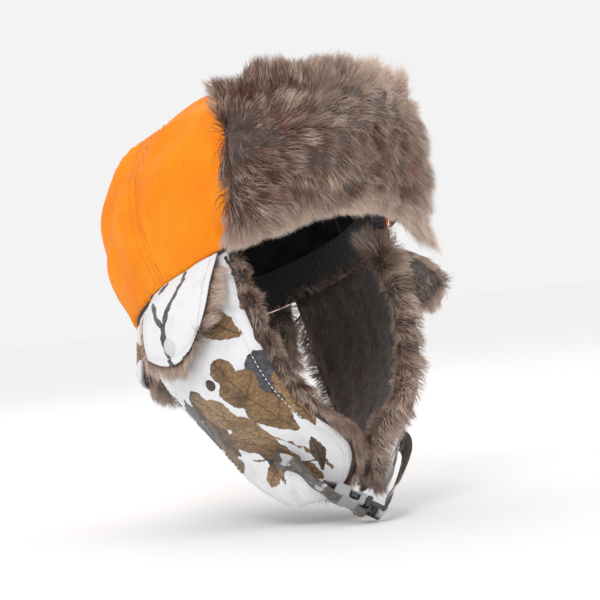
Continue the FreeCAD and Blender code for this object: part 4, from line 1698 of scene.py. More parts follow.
    def top_button(self) -> None:
        """A small covered button where the four gores meet."""
        turn = np.linspace(0, np.pi, 12)
        profile = np.stack([0.0062 * np.sin(turn) ** 0.8, -0.0022 * np.cos(turn)], -1)
        top = FORM.layer(0.0)(np.array(0.0), np.array(1.0))
        up = FORM.pitched(0.0, 0.0, 1.0)
        button = lathe("crown_top_button", profile[1:-1], top + up * 0.0008, up, 28)
        put("crown", "crown_cloth", ORANGE, button)


@dataclass
class Sweatband:
    """The ribbed band sewn inside the rim."""

    offset: float = -0.0084
    thickness: float = 0.0016
    height: float = 0.028

    def build(self) -> None:
        """A rounded strip carried round the rim: the superellipse section keeps its edges soft."""
        angle = around(300)
        turn = around(24)
        rise = rounded(np.sin(turn), 0.35) * self.height / 2
        depth = rounded(np.cos(turn), 0.6) * self.thickness / 2
        a, r = np.meshgrid(angle, rise, indexing="ij")
        _, d = np.meshgrid(angle, depth, indexing="ij")
        lift = FORM.rim_height(a) + 0.0005 + self.height / 2
        plain = FORM.crown(a, lift + r, self.offset - self.thickness / 2)
        wave = 0.0003 * ripple(plain, 0.03, 31)
        rings = FORM.crown(a, lift + r, self.offset - self.thickness / 2 + d + wave)
        run = np.broadcast_to(angle[:, None] * 0.1, a.shape)
        uv = np.stack([run, np.broadcast_to(np.cumsum(np.abs(np.diff(rise, prepend=rise[:1])))[None],
                                            a.shape)], -1)
        band = tube("sweatband_knit", rings, uv, looped=True)
        put("crown", "sweatband", KNIT, band)
        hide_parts("sweatband")


@dataclass
class BrowFlap:
    """The turned-up brow: backing cloth, close pile and long fur."""

    backing: tuple[float, ...] = (0.0030, 0.0042)
    pile_low: float = 0.0044
    pile_high: float = 0.0125
    count: int = 32500

    def build(self) -> None:
        """Makes the three layers; the cloth is baked in place, and the fur turns with the flap."""
        half = FORM.brow_half
        angle, v = across_grid((-half, 0), (half, 1), 64, 24)
        outer = FORM.brow(self.backing[1])(angle, v)
        cloth = closed_slab("brow_backing_cloth", outer, FORM.brow(self.backing[0])(angle, v),
                            length_uv(outer))
        angle, v = across_grid((-half, 0), (half, 1), 90, 38)
        near = margin((angle + half) / (2 * half), v, 0.19, 0.088)
        round_off = 1 - np.exp(-(near / 0.004) ** 2)
        outer = FORM.brow(self.backing[1])(angle, v)
        wave = 0.0016 * ripple(outer, 0.02, 41) + 0.0008 * ripple(outer, 0.007, 42)
        far = 0.005 * smooth(-0.45, -1.0, angle / half)
        depth = self.pile_low + (self.pile_high - self.pile_low + wave + far) * round_off
        pile = closed_slab("brow_fur_pile", FORM.brow(depth)(angle, v),
                           FORM.brow(self.pile_low)(angle, v), length_uv(outer))
        ORANGE.dress(cloth)
        PILE.dress(pile)
        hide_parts("brow_flap_backing")
        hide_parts("brow_flap_fur")
        strands = self.coat().build("brow_fur_long")
        STRANDS.dress(*strands)
        fold = Fold("crown", "brow_flap", tuple(FORM.pitched(0.0, -FORM.depth, 0.005)),
                    tuple(FORM.pitched(0.0, -FORM.depth, 0.030)))
        fold.join(cloth, "crown_cloth")
        for piece in (pile, *strands):
            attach(piece, "brow_flap")
            LOG.info("%s rides on brow_flap", piece.name)

    def coat(self) -> Coat:
        """Fur over the face of the flap and a fringe along its edges.

        The flow turns from down-and-across low on the flap to up-and-across at its top.

        Returns:
            The coat.
        """
        half = FORM.brow_half
        surface = FORM.brow(0.0080)
        angle, v = scatter(surface, self.count, (-half * 0.985, 0.015), (half * 0.985, 0.985), 51)
        extra, low = scatter(surface, self.count // 6, (-half, 0.93), (half, 1.0), 52)
        third, foot = scatter(surface, self.count // 9, (-half, 0.0), (half, 0.07), 53)
        angle, v = np.concatenate([angle, extra, third]), np.concatenate([v, low, foot])
        return self.patch(surface, angle, v)

    def patch(self, surface: Surface, angle: Array, v: Array) -> Coat:
        """Roots, flow, length and paleness at places of the flap.

        Args:
            surface: Where the roots stand.
            angle, v: Turn from the front, and share of the way up.

        Returns:
            The coat.
        """
        points = surface(angle, v)
        normal = normals(surface, angle, v, (0, -1, 0.1))
        across = unit(surface(angle - 0.01, v) - surface(angle + 0.01, v))
        up = unit(surface(angle, v + 0.01) - surface(angle, v - 0.01))
        wander = ripple(points, 0.075, 54) * 0.75 + ripple(points, 0.025, 55) * 0.35
        far = smooth(-0.45, -1.0, angle / FORM.brow_half)
        heading = np.radians(-48 + 112 * smooth(0.55, 1.0, v)
                             - (30 + 25 * far) * smooth(0.25, 0.0, v)) + wander
        flow = across * np.cos(heading)[:, None] + up * np.sin(heading)[:, None]
        side = angle / FORM.brow_half
        flow = flow - across * (smooth(0.80, 1.0, side) * 1.1)[:, None] \
            + across * (smooth(-0.80, -1.0, side) * 1.1)[:, None]
        corner = smooth(0.15, -0.40, side) * smooth(0.72, 0.96, v)
        tuft = 1 + 0.30 * ripple(points, 0.016, 56) + 0.35 * far \
            + 0.75 * corner * (ripple(points, 0.010, 63) - 0.15)
        tuft = np.clip(tuft, 0.35, 1.36)
        low = smooth(0.12, 0.0, v)
        length = 0.0215 * tuft * (1 - 0.50 * low + 0.95 * low * far)
        pale = smooth(0.26, 0.0, v + 0.06 * ripple(points, 0.02, 57)) \
            + 0.9 * smooth(0.45, -0.6, side) * smooth(0.66, 1.0, v) + 0.4 * far + 0.5 * corner \
            + 0.35 * smooth(0.2, 0.9, ripple(points, 0.028, 58))
        top = smooth(0.80, 1.0, v)
        lift = 0.27 + 0.13 * ripple(points, 0.030, 59) + 0.45 * far * (1 - top) - 0.05 * top
        roots = points + normal * (0.009 * far)[:, None]
        return Coat(roots, normal, flow, length, lift, np.clip(pale, 0, 1), clump=0.66,
                    clump_size=0.0075, seed=60)


@dataclass
class EarFlap:
    """One ear flap: padded printed cloth outside, pile and long fur inside and round its edge."""

    side: Side
    padding: float = 0.0056
    pile: float = 0.0085
    count: int = 8200
    roll_count: int = 6300
    roll_radius: float = 0.0078
    roll_depth: float = 0.0080

    @property
    def body(self) -> str:
        """The body that the flap rides on."""
        return f"{self.side.label}_ear_flap"

    def mirror(self, points: Array) -> Array:
        """Points of the right flap moved to this side."""
        return points * np.array([self.side.value, 1.0, 1.0])

    def fold(self) -> Fold:
        """The fold along the rim, 18 mm deep.

        Returns:
            The fold.
        """
        side = self.side.value
        return Fold("crown", self.body, tuple(FORM.pitched(-FORM.width * side, 0.0, -0.001)),
                    tuple(FORM.pitched(-FORM.width * side, 0.0, -0.019)))

    def build(self) -> None:
        """Makes the cloth, the pile, the fur and the seam."""
        u, w = across_grid((0, 0), (1, 0.975), 86, 116)
        plain = FORM.flap(u, w)
        normal = FORM.flap_out(u, w)
        near = margin(u, w / 0.975, 0.105, 0.17)
        sewn = np.exp(-((near - 0.0062) / 0.0016) ** 2) * 0.0009
        puff = 0.0012 * (1 - np.exp(-(near / 0.016) ** 2)) + 0.0011 * ripple(plain, 0.045, 61) \
            * smooth(0.004, 0.02, near) + 0.0004 * ripple(plain, 0.013, 62)
        hem = np.exp(-(near / 0.0024) ** 2) * 0.0022
        outer = plain + normal * (puff - sewn - hem)[..., None]
        inner = plain - normal * (self.padding - hem * 0.9)[..., None]
        uv = length_uv(plain)
        cloth = closed_slab(f"{self.side.label}_flap_cloth", self.mirror(outer), self.mirror(inner), uv)
        FLAP_CLOTH.dress(cloth)
        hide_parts(f"{self.side.label}_flap_shell", f"{self.side.label}_flap_wadding")
        pile = self.pile_slab()
        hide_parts(f"{self.side.label}_flap_fur")
        roll = self.roll_pile()
        PILE.dress(pile, roll)
        coat = self.coat().joined(self.roll_coat())
        strands = (coat if self.side is Side.RIGHT else coat.mirrored()).build(
            f"{self.side.label}_flap_fur_long")
        STRANDS.dress(*strands)
        row = self.sew()
        GREY_THREAD.dress(row)
        for piece, slot in [(cloth, "leaf_print"), (pile, "fur"), (roll, "fur"),
                            (row, "leaf_print")] + [(s, "fur") for s in strands]:
            self.fold().join(piece, slot)

    def pile_slab(self) -> bpy.types.Object:
        """The close pile on the inner face, lumpy and rounded off at its borders.

        Returns:
            The piece.
        """
        u, w = across_grid((0, 0), (1, 0.975), 50, 70)
        plain = FORM.flap(u, w)
        normal = FORM.flap_out(u, w)
        near = margin(u, w / 0.975, 0.105, 0.17)
        lump = (self.pile + 0.0013 * ripple(plain, 0.018, 63)) * (1 - np.exp(-(near / 0.004) ** 2))
        deep = self.mirror(plain - normal * (self.padding + 0.0002 + lump)[..., None])
        top = self.mirror(plain - normal * (self.padding + 0.0002))
        return closed_slab(f"{self.side.label}_flap_fur_pile", deep, top, length_uv(plain))

    def roll(self, w: Array, turn: Array, share: float = 1.0) -> tuple[Array, Array, Array]:
        """The ruffled roll round the front edge: a circle carried along the edge.

        The radius swells and shrinks with noise, tapers at both ends, and is scaled by share. The
        turn is 0 ahead of the edge and 90 degrees on the cloth's side.

        Args:
            w: Share of the way down.
            turn: Turn round the circle.
            share: Scales the radius.

        Returns:
            Points, radial directions and the direction in which the turn grows.
        """
        one = np.ones_like(w)
        edge = FORM.flap(one, w)
        out = FORM.flap_out(one, w)
        ahead = unit(FORM.flap(one + 0.01, w) - FORM.flap(one - 0.01, w))
        middle = edge - out * self.roll_depth
        swell = (0.82 + 0.18 * smooth(0.0, 0.16, w)) * (1 - 0.45 * smooth(0.90, 1.0, w))
        radius = self.roll_radius * share * swell * (1 + 0.17 * ripple(middle, 0.026, 66))
        if self.side is Side.LEFT:
            radius = radius * (1.12 + 0.25 * smooth(0.20, 0.0, w))
        cos, sin = np.cos(turn)[..., None], np.sin(turn)[..., None]
        radial = ahead * cos + out * sin
        return middle + radial * radius[..., None], radial, out * cos - ahead * sin

    def roll_pile(self) -> bpy.types.Object:
        """The close pile of the roll.

        Returns:
            The piece.
        """
        w, turn = np.meshgrid(np.linspace(0.01, 0.975, 90), around(20), indexing="ij")
        rings = self.mirror(self.roll(w, turn, 0.72)[0])
        uv = np.stack([turn * 0.006, w * 0.17], -1)
        return tube(f"{self.side.label}_flap_edge_roll", rings, uv)

    def roll_coat(self) -> Coat:
        """Fur that curls round the roll towards the cloth and down; the far roll's top stands up, and its fur
        is paler as painted light.

        Returns:
            The coat.
        """
        rng = np.random.default_rng(77 + self.side.value)
        w = rng.uniform(0.015, 0.972, self.roll_count)
        w = np.where(rng.uniform(0, 1, self.roll_count) < 0.16 * (self.side is Side.LEFT), w * 0.10, w)
        top = smooth(0.11, 0.0, w) * (self.side is Side.LEFT)
        turn = np.radians(rng.uniform(-150, 70 if self.side is Side.LEFT else 38, self.roll_count))
        points, radial, around = self.roll(w, turn, 0.62)
        one = np.ones_like(w)
        down = unit(FORM.flap(one, w + 0.01) - FORM.flap(one, np.maximum(w - 0.01, 0)))
        wander = ripple(points, 0.022, 78)[:, None]
        flow = around * 0.85 * (1 - 0.5 * top)[:, None] \
            + down * (0.55 + 0.9 * wander) * (1 - 3.2 * top)[:, None]
        length = 0.0125 * (1 + 0.22 * ripple(points, 0.013, 79)) * (1 + 0.8 * top)
        # The left roll is paler than the same fur on the right: painted light on the lit roll.
        pale = np.clip((0.52 if self.side is Side.LEFT else 0.30) + 0.45 * ripple(points, 0.02, 80), 0, 1)
        return Coat(points, radial, flow, length, np.full(len(w), 0.40), pale)

    def sew(self) -> bpy.types.Object:
        """A topstitch row 6 mm in from the two long edges and the tip.

        Returns:
            The stitches.
        """
        s = np.linspace(0, 1, 500)
        u = np.interp(s, [0, 0.46, 0.54, 1], [0.060, 0.060, 0.940, 0.940])
        w = np.interp(s, [0, 0.46, 0.54, 1], [0.03, 0.935, 0.935, 0.03])
        points = FORM.flap(u, w)
        out = FORM.flap_out(u, w)
        path = self.mirror(points + out * 0.0002)
        return stitches(f"{self.side.label}_flap_stitches", path, self.mirror(out))

    def coat(self) -> Coat:
        """Fur over the inner face, denser along the back edge and the tip.

        Returns:
            The coat.
        """
        inside = self.padding + 0.004

        def inward(u: Array, w: Array) -> Array:
            """The face that the roots stand on."""
            return FORM.flap(u, w) - FORM.flap_out(u, w) * inside

        u, w = scatter(inward, self.count, (0.02, 0.0), (0.98, 0.97), 71)
        roll = int(self.count * 0.26)
        rng = np.random.default_rng(72)
        side = rng.uniform(0, 1, roll)
        u2 = rng.uniform(0.0, 0.06, roll)
        w2 = rng.uniform(0.04, 0.97, roll) ** 0.9
        tip = side > 0.7
        u2 = np.where(tip, rng.uniform(0, 1, roll), u2)
        w2 = np.where(tip, rng.uniform(0.94, 0.975, roll), w2)
        u, w = np.concatenate([u, u2]), np.concatenate([w, w2])
        normal = -FORM.flap_out(u, w)
        points = inward(u, w)
        ahead = unit(FORM.flap(u + 0.01, w) - FORM.flap(u - 0.01, w))
        down = unit(FORM.flap(u, w + 0.01) - FORM.flap(u, np.maximum(w - 0.01, 0)))
        wander = ripple(points, 0.05, 73) * 0.8
        forward = np.where(u > 0.5, 1.0, 0.25)[:, None]
        top = smooth(0.05, 0.0, w)
        flow = ahead * np.cos(wander)[:, None] * forward \
            + down * (0.55 + np.sin(wander) - 2.2 * top)[:, None]
        edge_in = smooth(0.90, 1.0, u)
        edge_out = smooth(0.08, 0.0, u)
        edge_low = smooth(0.92, 0.975, w)
        flow = flow + ahead * (1.6 * edge_in - 1.9 * edge_out)[:, None] + down * (1.2 * edge_low)[:, None]
        edge = np.maximum.reduce([edge_in, edge_out, edge_low])
        length = 0.0135 + 0.0015 * ripple(points, 0.02, 74) + 0.0020 * edge_in - 0.003 * edge_out
        pale = 0.25 + 0.35 * ripple(points, 0.03, 75) + 0.25 * edge_in
        lift = 0.5 - 0.12 * edge
        return Coat(points - normal * 0.003 * (1 - edge)[:, None], normal, flow, length, lift,
                    np.clip(pale, 0, 1), seed=76, clump=0.5, droop=0.22)


@dataclass
class EarCover:
    """The lift-up tongue over one ear: printed cloth outside, fur inside, a snap at its tip."""

    side: Side
    clearance: float = 0.0008
    thickness: float = 0.0012
    count: int = 4700
    rest_open: float = math.radians(45)

    @property
    def body(self) -> str:
        """The body that the cover rides on."""
        return f"{self.side.label}_ear_cover"

    def place(self, points: Array) -> Array:
        """Points of the closed right cover moved to this side, and open on the left.

        Args:
            points: Points of the closed right cover.

        Returns:
            The moved points.
        """
        if self.side is Side.RIGHT:
            return points
        axis = (0.0, math.cos(FORM.pitch), -math.sin(FORM.pitch))
        return turned(points * np.array([-1.0, 1, 1]), FORM.hinge_point(), axis, -self.rest_open)

    def build(self) -> None:
        """Makes the cloth, the pile, the fringe and the stitching."""
        fur = self.clearance + FORM.cover_fur
        a, v = across_grid((0, 0.02), (1, 1), 62, 60)
        low, high = FORM.cover(fur + 0.0002), FORM.cover(fur + 0.0002 + self.thickness)
        plain = high(a, v)
        near = margin(a, v, 0.058, 0.046, top=False)
        puff = 0.0011 * (1 - np.exp(-(near / 0.010) ** 2)) + 0.0007 * ripple(plain, 0.02, 81) \
            * smooth(0.0, 0.01, near) - 0.0006 * np.exp(-((near - 0.004) / 0.0012) ** 2) \
            - 0.0009 * np.exp(-(near / 0.0018) ** 2)
        direction = unit(plain - low(a, v))
        outer = plain + direction * puff[..., None]
        uv = length_uv(plain)
        label = self.side.label
        cloth = closed_slab(f"{label}_cover_cloth", self.place(outer), self.place(low(a, v)), uv)
        COVER_CLOTH.dress(cloth)
        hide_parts(f"{label}_cover_shell")
        thin = 0.55 + 0.12 * ripple(plain, 0.012, 82)
        middle = FORM.cover(fur)(a, v)
        bottom = FORM.cover(self.clearance, 0.0)(a, v)
        pile = closed_slab(f"{label}_cover_fur_pile", self.place(middle),
                           self.place(middle + (bottom - middle) * thin[..., None]), uv)
        PILE.dress(pile)
        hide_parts(f"{label}_cover_fur")
        strands = self.coat(FORM.cover(self.clearance + FORM.cover_fur * 0.8)).build(
            f"{label}_cover_fur_long")
        STRANDS.dress(*strands)
        s = np.linspace(0, 1, 300)
        edge_a = np.interp(s, [0, 0.4, 0.6, 1], [0.07, 0.07, 0.93, 0.93])
        edge_v = np.interp(s, [0, 0.4, 0.6, 1], [0.05, 0.92, 0.92, 0.05])
        path = high(edge_a, edge_v)
        row = stitches(f"{label}_cover_stitches", self.place(path),
                       self.place(path + unit(path - low(edge_a, edge_v))) - self.place(path))
        GREY_THREAD.dress(row)
        for piece, slot in [(cloth, "leaf_print"), (pile, "fur"), (row, "leaf_print")] \
                + [(x, "fur") for x in strands]:
            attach(piece, self.body)
            LOG.info("%s rides on %s", piece.name, self.body)

    def coat(self, surface: Surface) -> Coat:
        """A pale fringe that stands out past the edges, and short fur inside.

        Args:
            surface: Where the roots stand.

        Returns:
            The coat.
        """
        rng = np.random.default_rng(91)
        a, v = scatter(surface, self.count // 3, (0.03, 0.15), (0.97, 0.98), 92)
        edge = self.count - len(a)
        pick = rng.uniform(0, 1, edge)
        near = rng.uniform(0, 0.045, edge)
        a2 = np.where(pick < 0.3, near, np.where(pick < 0.6, 1 - near, rng.uniform(0, 1, edge)))
        v2 = np.where(pick < 0.6, rng.uniform(0.14, 1, edge), 1 - near * 1.2)
        a, v = np.concatenate([a, a2]), np.concatenate([v, v2])
        points = surface(a, v)
        inward = -normals(surface, a, v, (-1, 0, 0))
        across = unit(surface(a + 0.01, v) - surface(a - 0.01, v))
        down = unit(surface(a, v + 0.01) - surface(a, v - 0.01))
        left, right, low = smooth(0.10, 0.0, a), smooth(0.90, 1.0, a), smooth(0.90, 1.0, v)
        flow = down * (0.7 + 0.9 * low)[:, None] + across * (1.5 * right - 1.5 * left)[:, None]
        flow = flow + across * (0.5 * ripple(points, 0.012, 93))[:, None]
        rim = np.maximum.reduce([left, right, low])
        length = 0.0080 + 0.0095 * rim * (0.85 + 0.45 * ripple(points, 0.012, 94))
        lift = 0.35 - 0.22 * rim
        pale = np.clip(0.80 + 0.5 * ripple(points, 0.012, 95), 0, 1)
        coat = Coat(points, inward, flow, length, lift, pale, seed=96 + self.side.value,
                    clump=0.7, clump_size=0.0060, droop=0.15)
        if self.side is Side.LEFT:
            axis = (0.0, math.cos(FORM.pitch), -math.sin(FORM.pitch))
            coat = coat.mirrored().moved(FORM.hinge_point(), axis, -self.rest_open)
        return coat


@dataclass
class NeckCurtain:
    """The short curtain behind the neck."""

    padding: float = 0.0056
    pile: float = 0.0080
    count: int = 4300

    def build(self) -> None:
        """Makes the cloth, the pile and the fur."""
        u, w = across_grid((0, 0), (1, 1), 130, 34)
        plain = FORM.neck(u, w)
        normal = FORM.neck_out(u, w)
        near = margin(u, w, 0.19, 0.042)
        hem = np.exp(-(near / 0.0022) ** 2) * 0.0021
        puff = 0.0013 * (1 - np.exp(-(near / 0.010) ** 2)) + 0.0010 * ripple(plain, 0.035, 101) \
            * smooth(0.003, 0.012, near) - 0.0008 * np.exp(-((near - 0.006) / 0.0014) ** 2)
        uv = length_uv(plain)
        cloth = closed_slab("neck_curtain_cloth", plain + normal * (puff - hem)[..., None],
                            plain - normal * (self.padding - 0.9 * hem)[..., None], uv)
        NECK_CLOTH.dress(cloth)
        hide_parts("neck_flap_shell", "neck_flap_wadding")
        lump = (self.pile + 0.0010 * ripple(plain, 0.015, 102)) * (1 - np.exp(-(near / 0.003) ** 2))
        pile = closed_slab("neck_curtain_fur_pile",
                           plain - normal * (self.padding + 0.0002 + lump)[..., None],
                           plain - normal * (self.padding + 0.0002), uv)
        PILE.dress(pile)
        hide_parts("neck_flap_fur")
        strands = self.coat().build("neck_curtain_fur_long")
        STRANDS.dress(*strands)
        line = np.linspace(0.02, 0.98, 420)
        foot = np.full_like(line, 0.84)
        row = stitches("neck_curtain_stitches", FORM.neck(line, foot)
                       + FORM.neck_out(line, foot) * 0.0004,
                       FORM.neck_out(line, foot))
        GREY_THREAD.dress(row)
        fold = Fold("crown", "neck_flap", tuple(FORM.pitched(0.0, FORM.depth, -0.001)),
                    tuple(FORM.pitched(0.0, FORM.depth, -0.016)))
        for piece, slot in [(cloth, "leaf_print"), (pile, "fur"), (row, "leaf_print")] \
                + [(s, "fur") for s in strands]:
            fold.join(piece, slot)

    def coat(self) -> Coat:
        """Fur inside the curtain, a fringe below its hem and one at each end.

        Returns:
            The coat.
        """
        inside = self.padding + 0.004

        def surface(u: Array, w: Array) -> Array:
            """The face that the roots stand on."""
            return FORM.neck(u, w) - FORM.neck_out(u, w) * inside

        u, w = scatter(surface, self.count, (0.01, 0.0), (0.99, 0.98), 111)
        rng = np.random.default_rng(112)
        edge = self.count // 2
        last = self.count // 4
        ends = rng.uniform(0, 0.025, last)
        u = np.concatenate([u, rng.uniform(0, 1, edge),
                            np.where(rng.uniform(0, 1, last) < 0.5, ends, 1 - ends)])
        w = np.concatenate([w, rng.uniform(0.90, 1.0, edge), rng.uniform(0.06, 1.0, last)])
        points = surface(u, w)
        normal = -FORM.neck_out(u, w)
        down = unit(FORM.neck(u, w + 0.01) - FORM.neck(u, w - 0.01))
        across = unit(FORM.neck(u + 0.01, w) - FORM.neck(u - 0.01, w))
        low = smooth(0.86, 1.0, w)
        out = smooth(0.970, 1.0, u) - smooth(0.030, 0.0, u)
        top = smooth(0.16, 0.0, w)
        flow = down * (1 + low - 2.4 * top)[:, None] \
            + across * (0.5 * ripple(points, 0.03, 113) + 1.6 * out)[:, None]
        length = 0.0115 + 0.0035 * low + 0.001 * ripple(points, 0.02, 114) + 0.004 * np.abs(out) \
            - 0.0045 * top
        pale = np.clip(0.55 + 0.3 * ripple(points, 0.02, 115), 0, 1)
        return Coat(points, normal, flow, length, 0.42 - 0.25 * low, pale, seed=116, droop=0.2)


# ---- hardware
def spline(points: Array, count: int) -> tuple[Array, Array]:
    """A natural cubic spline through points.

    With k the chord lengths, the second derivatives solve the usual three-band system.

    Args:
        points: What it passes through.
        count: Places along it.

    Returns:
        Points and unit tangents at count even steps of the parameter.
    """
    k = runs_along(points)
    h = np.diff(k)
    size = len(points)
    system, right = np.eye(size), np.zeros((size, 3))
    inner = np.arange(1, size - 1)
    system[inner, inner - 1], system[inner, inner + 1] = h[:-1], h[1:]
    system[inner, inner] = 2 * (h[:-1] + h[1:])
    slope = np.diff(points, axis=0) / h[:, None]
    right[1:-1] = 6 * np.diff(slope, axis=0)
    bend = np.linalg.solve(system, right)
    at = np.linspace(0, k[-1], count)
    i = np.clip(np.searchsorted(k, at) - 1, 0, size - 2)
    a, b, s = (k[i + 1] - at)[:, None], (at - k[i])[:, None], h[i][:, None]
    line = (bend[i] * a ** 3 + bend[i + 1] * b ** 3) / (6 * s) \
        + (points[i] / s - bend[i] * s / 6) * a + (points[i + 1] / s - bend[i + 1] * s / 6) * b
    return line, unit(np.gradient(line, axis=0))


@dataclass
class Buckle:
    """The side-release buckle's frame and its two straps."""

    along: tuple[float, ...] = (0.70, -0.50, -0.51)
    across: tuple[float, ...] = (-0.085, -0.963, 0.254)
    origin: tuple[float, ...] = (-0.175, -0.93, -0.995)
    socket_length: float = 0.022
    clearance: float = 0.0004
    base: float = 0.004
    window: float = 0.0033
    bar: float = 0.0018
    bar_thickness: float = 0.0024
    thickness: float = 0.008
    strap_width: float = 0.015
    strap_thickness: float = 0.0014
    gap: float = 0.001
    root: tuple[float, ...] = (0.50, 0.65)
    leave: tuple[float, ...] = (0.64, 0.715)
    stand: float = 0.0028
    leave_stand: float = 0.0040

    def axes(self) -> tuple[Array, Array, Array, Array]:
        """Origin, length, width and face directions; the width is squared to the length.

        Returns:
            The four vectors.
        """
        along = unit(np.array(self.along))
        across = np.array(self.across)
        across = unit(across - along * (across @ along))
        origin = np.array(self.origin) * (FORM.width, FORM.depth, FORM.drop)
        return origin, along, across, np.cross(along, across)

    def point(self, run: float, out: float) -> Array:
        """A point of the buckle's middle plane."""
        origin, along, _, face = self.axes()
        return origin + along * run + face * out

    def root_points(self) -> tuple[Array, Array, Array]:
        """Where the strap starts on the right flap, where it leaves it, and its width there.

        Returns:
            The three of them.
        """
        u, w = np.array([self.root[0], self.leave[0]]), np.array([self.root[1], self.leave[1]])
        places, out = FORM.flap(u, w), FORM.flap_out(u, w)
        flat = unit(np.cross(out[0], places[1] - places[0]))
        across = self.axes()[2]
        flat = flat if flat @ across > 0 else -flat
        width = unit(flat * 0.6 + across * 0.4)
        stand = self.stand + abs(width @ out[0]) * self.strap_width / 2
        return places[0] + out[0] * stand, places[1] + out[1] * (stand + self.leave_stand), width

    def ribbon(self, name: str, points: Sequence[Array], widths: Sequence[Array], low: float,
               high: float, count: int = 150) -> bpy.types.Object:
        """Webbing along a spline: a flat superellipse section, its width turned on the way.

        Args:
            name: The piece's name.
            points: The spline's points.
            widths: Width directions there.
            low, high: Shares of the spline that it covers.
            count: Rings.

        Returns:
            The piece.
        """
        line, tangent = spline(np.array(points), count)
        share = np.clip((np.linspace(0, 1, count) - low) / (high - low), 0, 1)[:, None]
        width = widths[0] * (1 - share) + widths[1] * share
        width = unit(width - tangent * (width * tangent).sum(1, keepdims=True))
        up = np.cross(tangent, width)
        turn = around(28)
        flat = rounded(np.cos(turn), 0.5) * self.strap_width / 2
        tall = rounded(np.sin(turn), 0.35) * self.strap_thickness / 2
        sag = 0.00025 * ripple(line, 0.02, 121)[:, None, None]
        rings = line[:, None] + width[:, None] * flat[None, :, None] \
            + up[:, None] * (tall[None, :, None] + sag)
        uv = np.stack(np.broadcast_arrays(flat[None], runs_along(line)[:, None]), -1)
        return tube(name, rings, uv)

    def build(self) -> None:
        """Makes the three straps and dresses the buckle's moulded parts."""
        _, _, across, _ = self.axes()
        root, leave, root_width = self.root_points()
        length = self.socket_length
        path = [root, leave, self.point(-length - 0.011, 0.0008)]
        path += [self.point(run - length, out) for run, out in (
            (-0.009, 0.00095), (-0.0025, 0.0023), (0.0013, 0.0026), (0.0039, 0.0),
            (0.0013, -0.0026), (-0.0025, -0.0023), (-0.009, -0.00095))]
        right = self.ribbon("right_strap_webbing", path, [root_width, across], 0.0, 0.45, 220)
        put("chin_strap", "webbing", WEBBING, right)
        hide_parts("right_chin_strap")
        end = self.clearance + self.base + 2 * self.window + 2 * self.bar
        over, face = self.bar_thickness / 2 + 0.00095, self.thickness / 2 + 0.00095
        weave = [(end + 0.001, -0.006), (end + 0.001, -0.003), (end + 0.0009, 0.0),
                 (end - self.bar / 2, over), (end - self.bar - self.window / 2, 0.0),
                 (end - 1.5 * self.bar - self.window, -over),
                 (end - 2 * self.bar - 1.5 * self.window, 0.0), (self.base - 0.0003, face),
                 (-0.003, face + 0.0003)]
        loop = self.ribbon("left_strap_tail", [self.point(*p) for p in weave], [across, across], 0.0, 1.0)
        put("buckle_plug", "webbing", WEBBING, loop)
        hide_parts("left_strap_loop")
        flip = np.array([-1.0, 1, 1])
        hang = np.array([0.38 * FORM.width, -0.76 * FORM.depth, -0.92 * FORM.drop])
        path = [self.point(end + 0.001, -0.006 - self.gap), self.point(end + 0.001, -0.0095),
                hang, leave * flip, root * flip]
        left = self.ribbon("left_strap_webbing", path, [across, root_width * flip], 0.2, 1.0)
        put("left_ear_flap", "webbing", WEBBING, left)
        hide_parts("left_chin_strap")
        PLASTIC.dress(FRAME["nodes"]["buckle_socket"])
        DARK_PLASTIC.dress(*(FRAME["nodes"][n] for n in
                             ("buckle_plug", "release_arm_front", "release_arm_back")))


@dataclass
class Snaps:
    """Studs and ear ports on the flaps, caps and sockets on the covers."""

    radius: float = 0.006
    stud: tuple[float, ...] = (0.60, 0.335)
    tip: tuple[float, ...] = (0.50, 0.80)

    def dome(self) -> Array:
        """Profile of a cap: a rolled rim, a groove and a low dome.

        Returns:
            The rows.
        """
        rows = [(0.0002, 0.0), (5.7, 0.0), (6.0, 0.30), (5.95, 0.75), (5.55, 1.02), (5.0, 1.05),
                (4.75, 0.98), (4.5, 1.15), (4.0, 1.62), (3.2, 2.02), (2.2, 2.27), (1.1, 2.38),
                (0.0002, 2.4)]
        return np.array(rows) * 0.001

    def ring(self) -> Array:
        """Profile of a socket: a flat ring with a hollow middle.

        Returns:
            The rows.
        """
        rows = [(0.0002, 0.0), (4.6, 0.0), (4.8, 0.25), (4.6, 0.75), (4.0, 0.9), (3.2, 0.88),
                (2.9, 0.55), (2.6, 0.35), (0.0002, 0.33)]
        return np.array(rows) * 0.001

    def build(self, side: Side) -> None:
        """Makes one side's snaps and dresses its ear port.

        Args:
            side: Which side.
        """
        cover = EarCover(side)
        flap = EarFlap(side)
        one = np.array(1.0)
        out = FORM.flap_out(self.stud[0] * one, self.stud[1] * one)
        place = FORM.flap(self.stud[0] * one, self.stud[1] * one) + out * 0.0001
        stud = lathe(f"{side.label}_flap_snap", self.dome(), flap.mirror(place), flap.mirror(out))
        put(flap.body, "snap_metal", METAL, stud)
        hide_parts(f"{side.label}_snap_stud")
        low = cover.clearance
        high = low + FORM.cover_fur + 0.0002 + cover.thickness + 0.00015
        for label, distance, share, profile, turn, finish in (
                ("cap", high, 1.0, self.dome(), 1, CAP_ENAMEL),
                ("socket", low - 0.00015 - 0.000432, 0.0, self.ring(), -1, METAL)):
            surface = FORM.cover(distance, share)
            out = normals(FORM.cover(high), self.tip[0] * one, self.tip[1] * one, (-1, 0, 0))
            place = surface(self.tip[0] * one, self.tip[1] * one)
            at, ahead = cover.place(place), cover.place(place + out) - cover.place(place)
            piece = lathe(f"{side.label}_cover_snap_{label}_metal", profile, at, ahead * turn)
            put(cover.body, "snap_metal", finish, piece)
            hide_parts(f"{side.label}_cover_snap_{label}")
        MESH.dress(FRAME["nodes"][f"{side.label}_ear_port"])


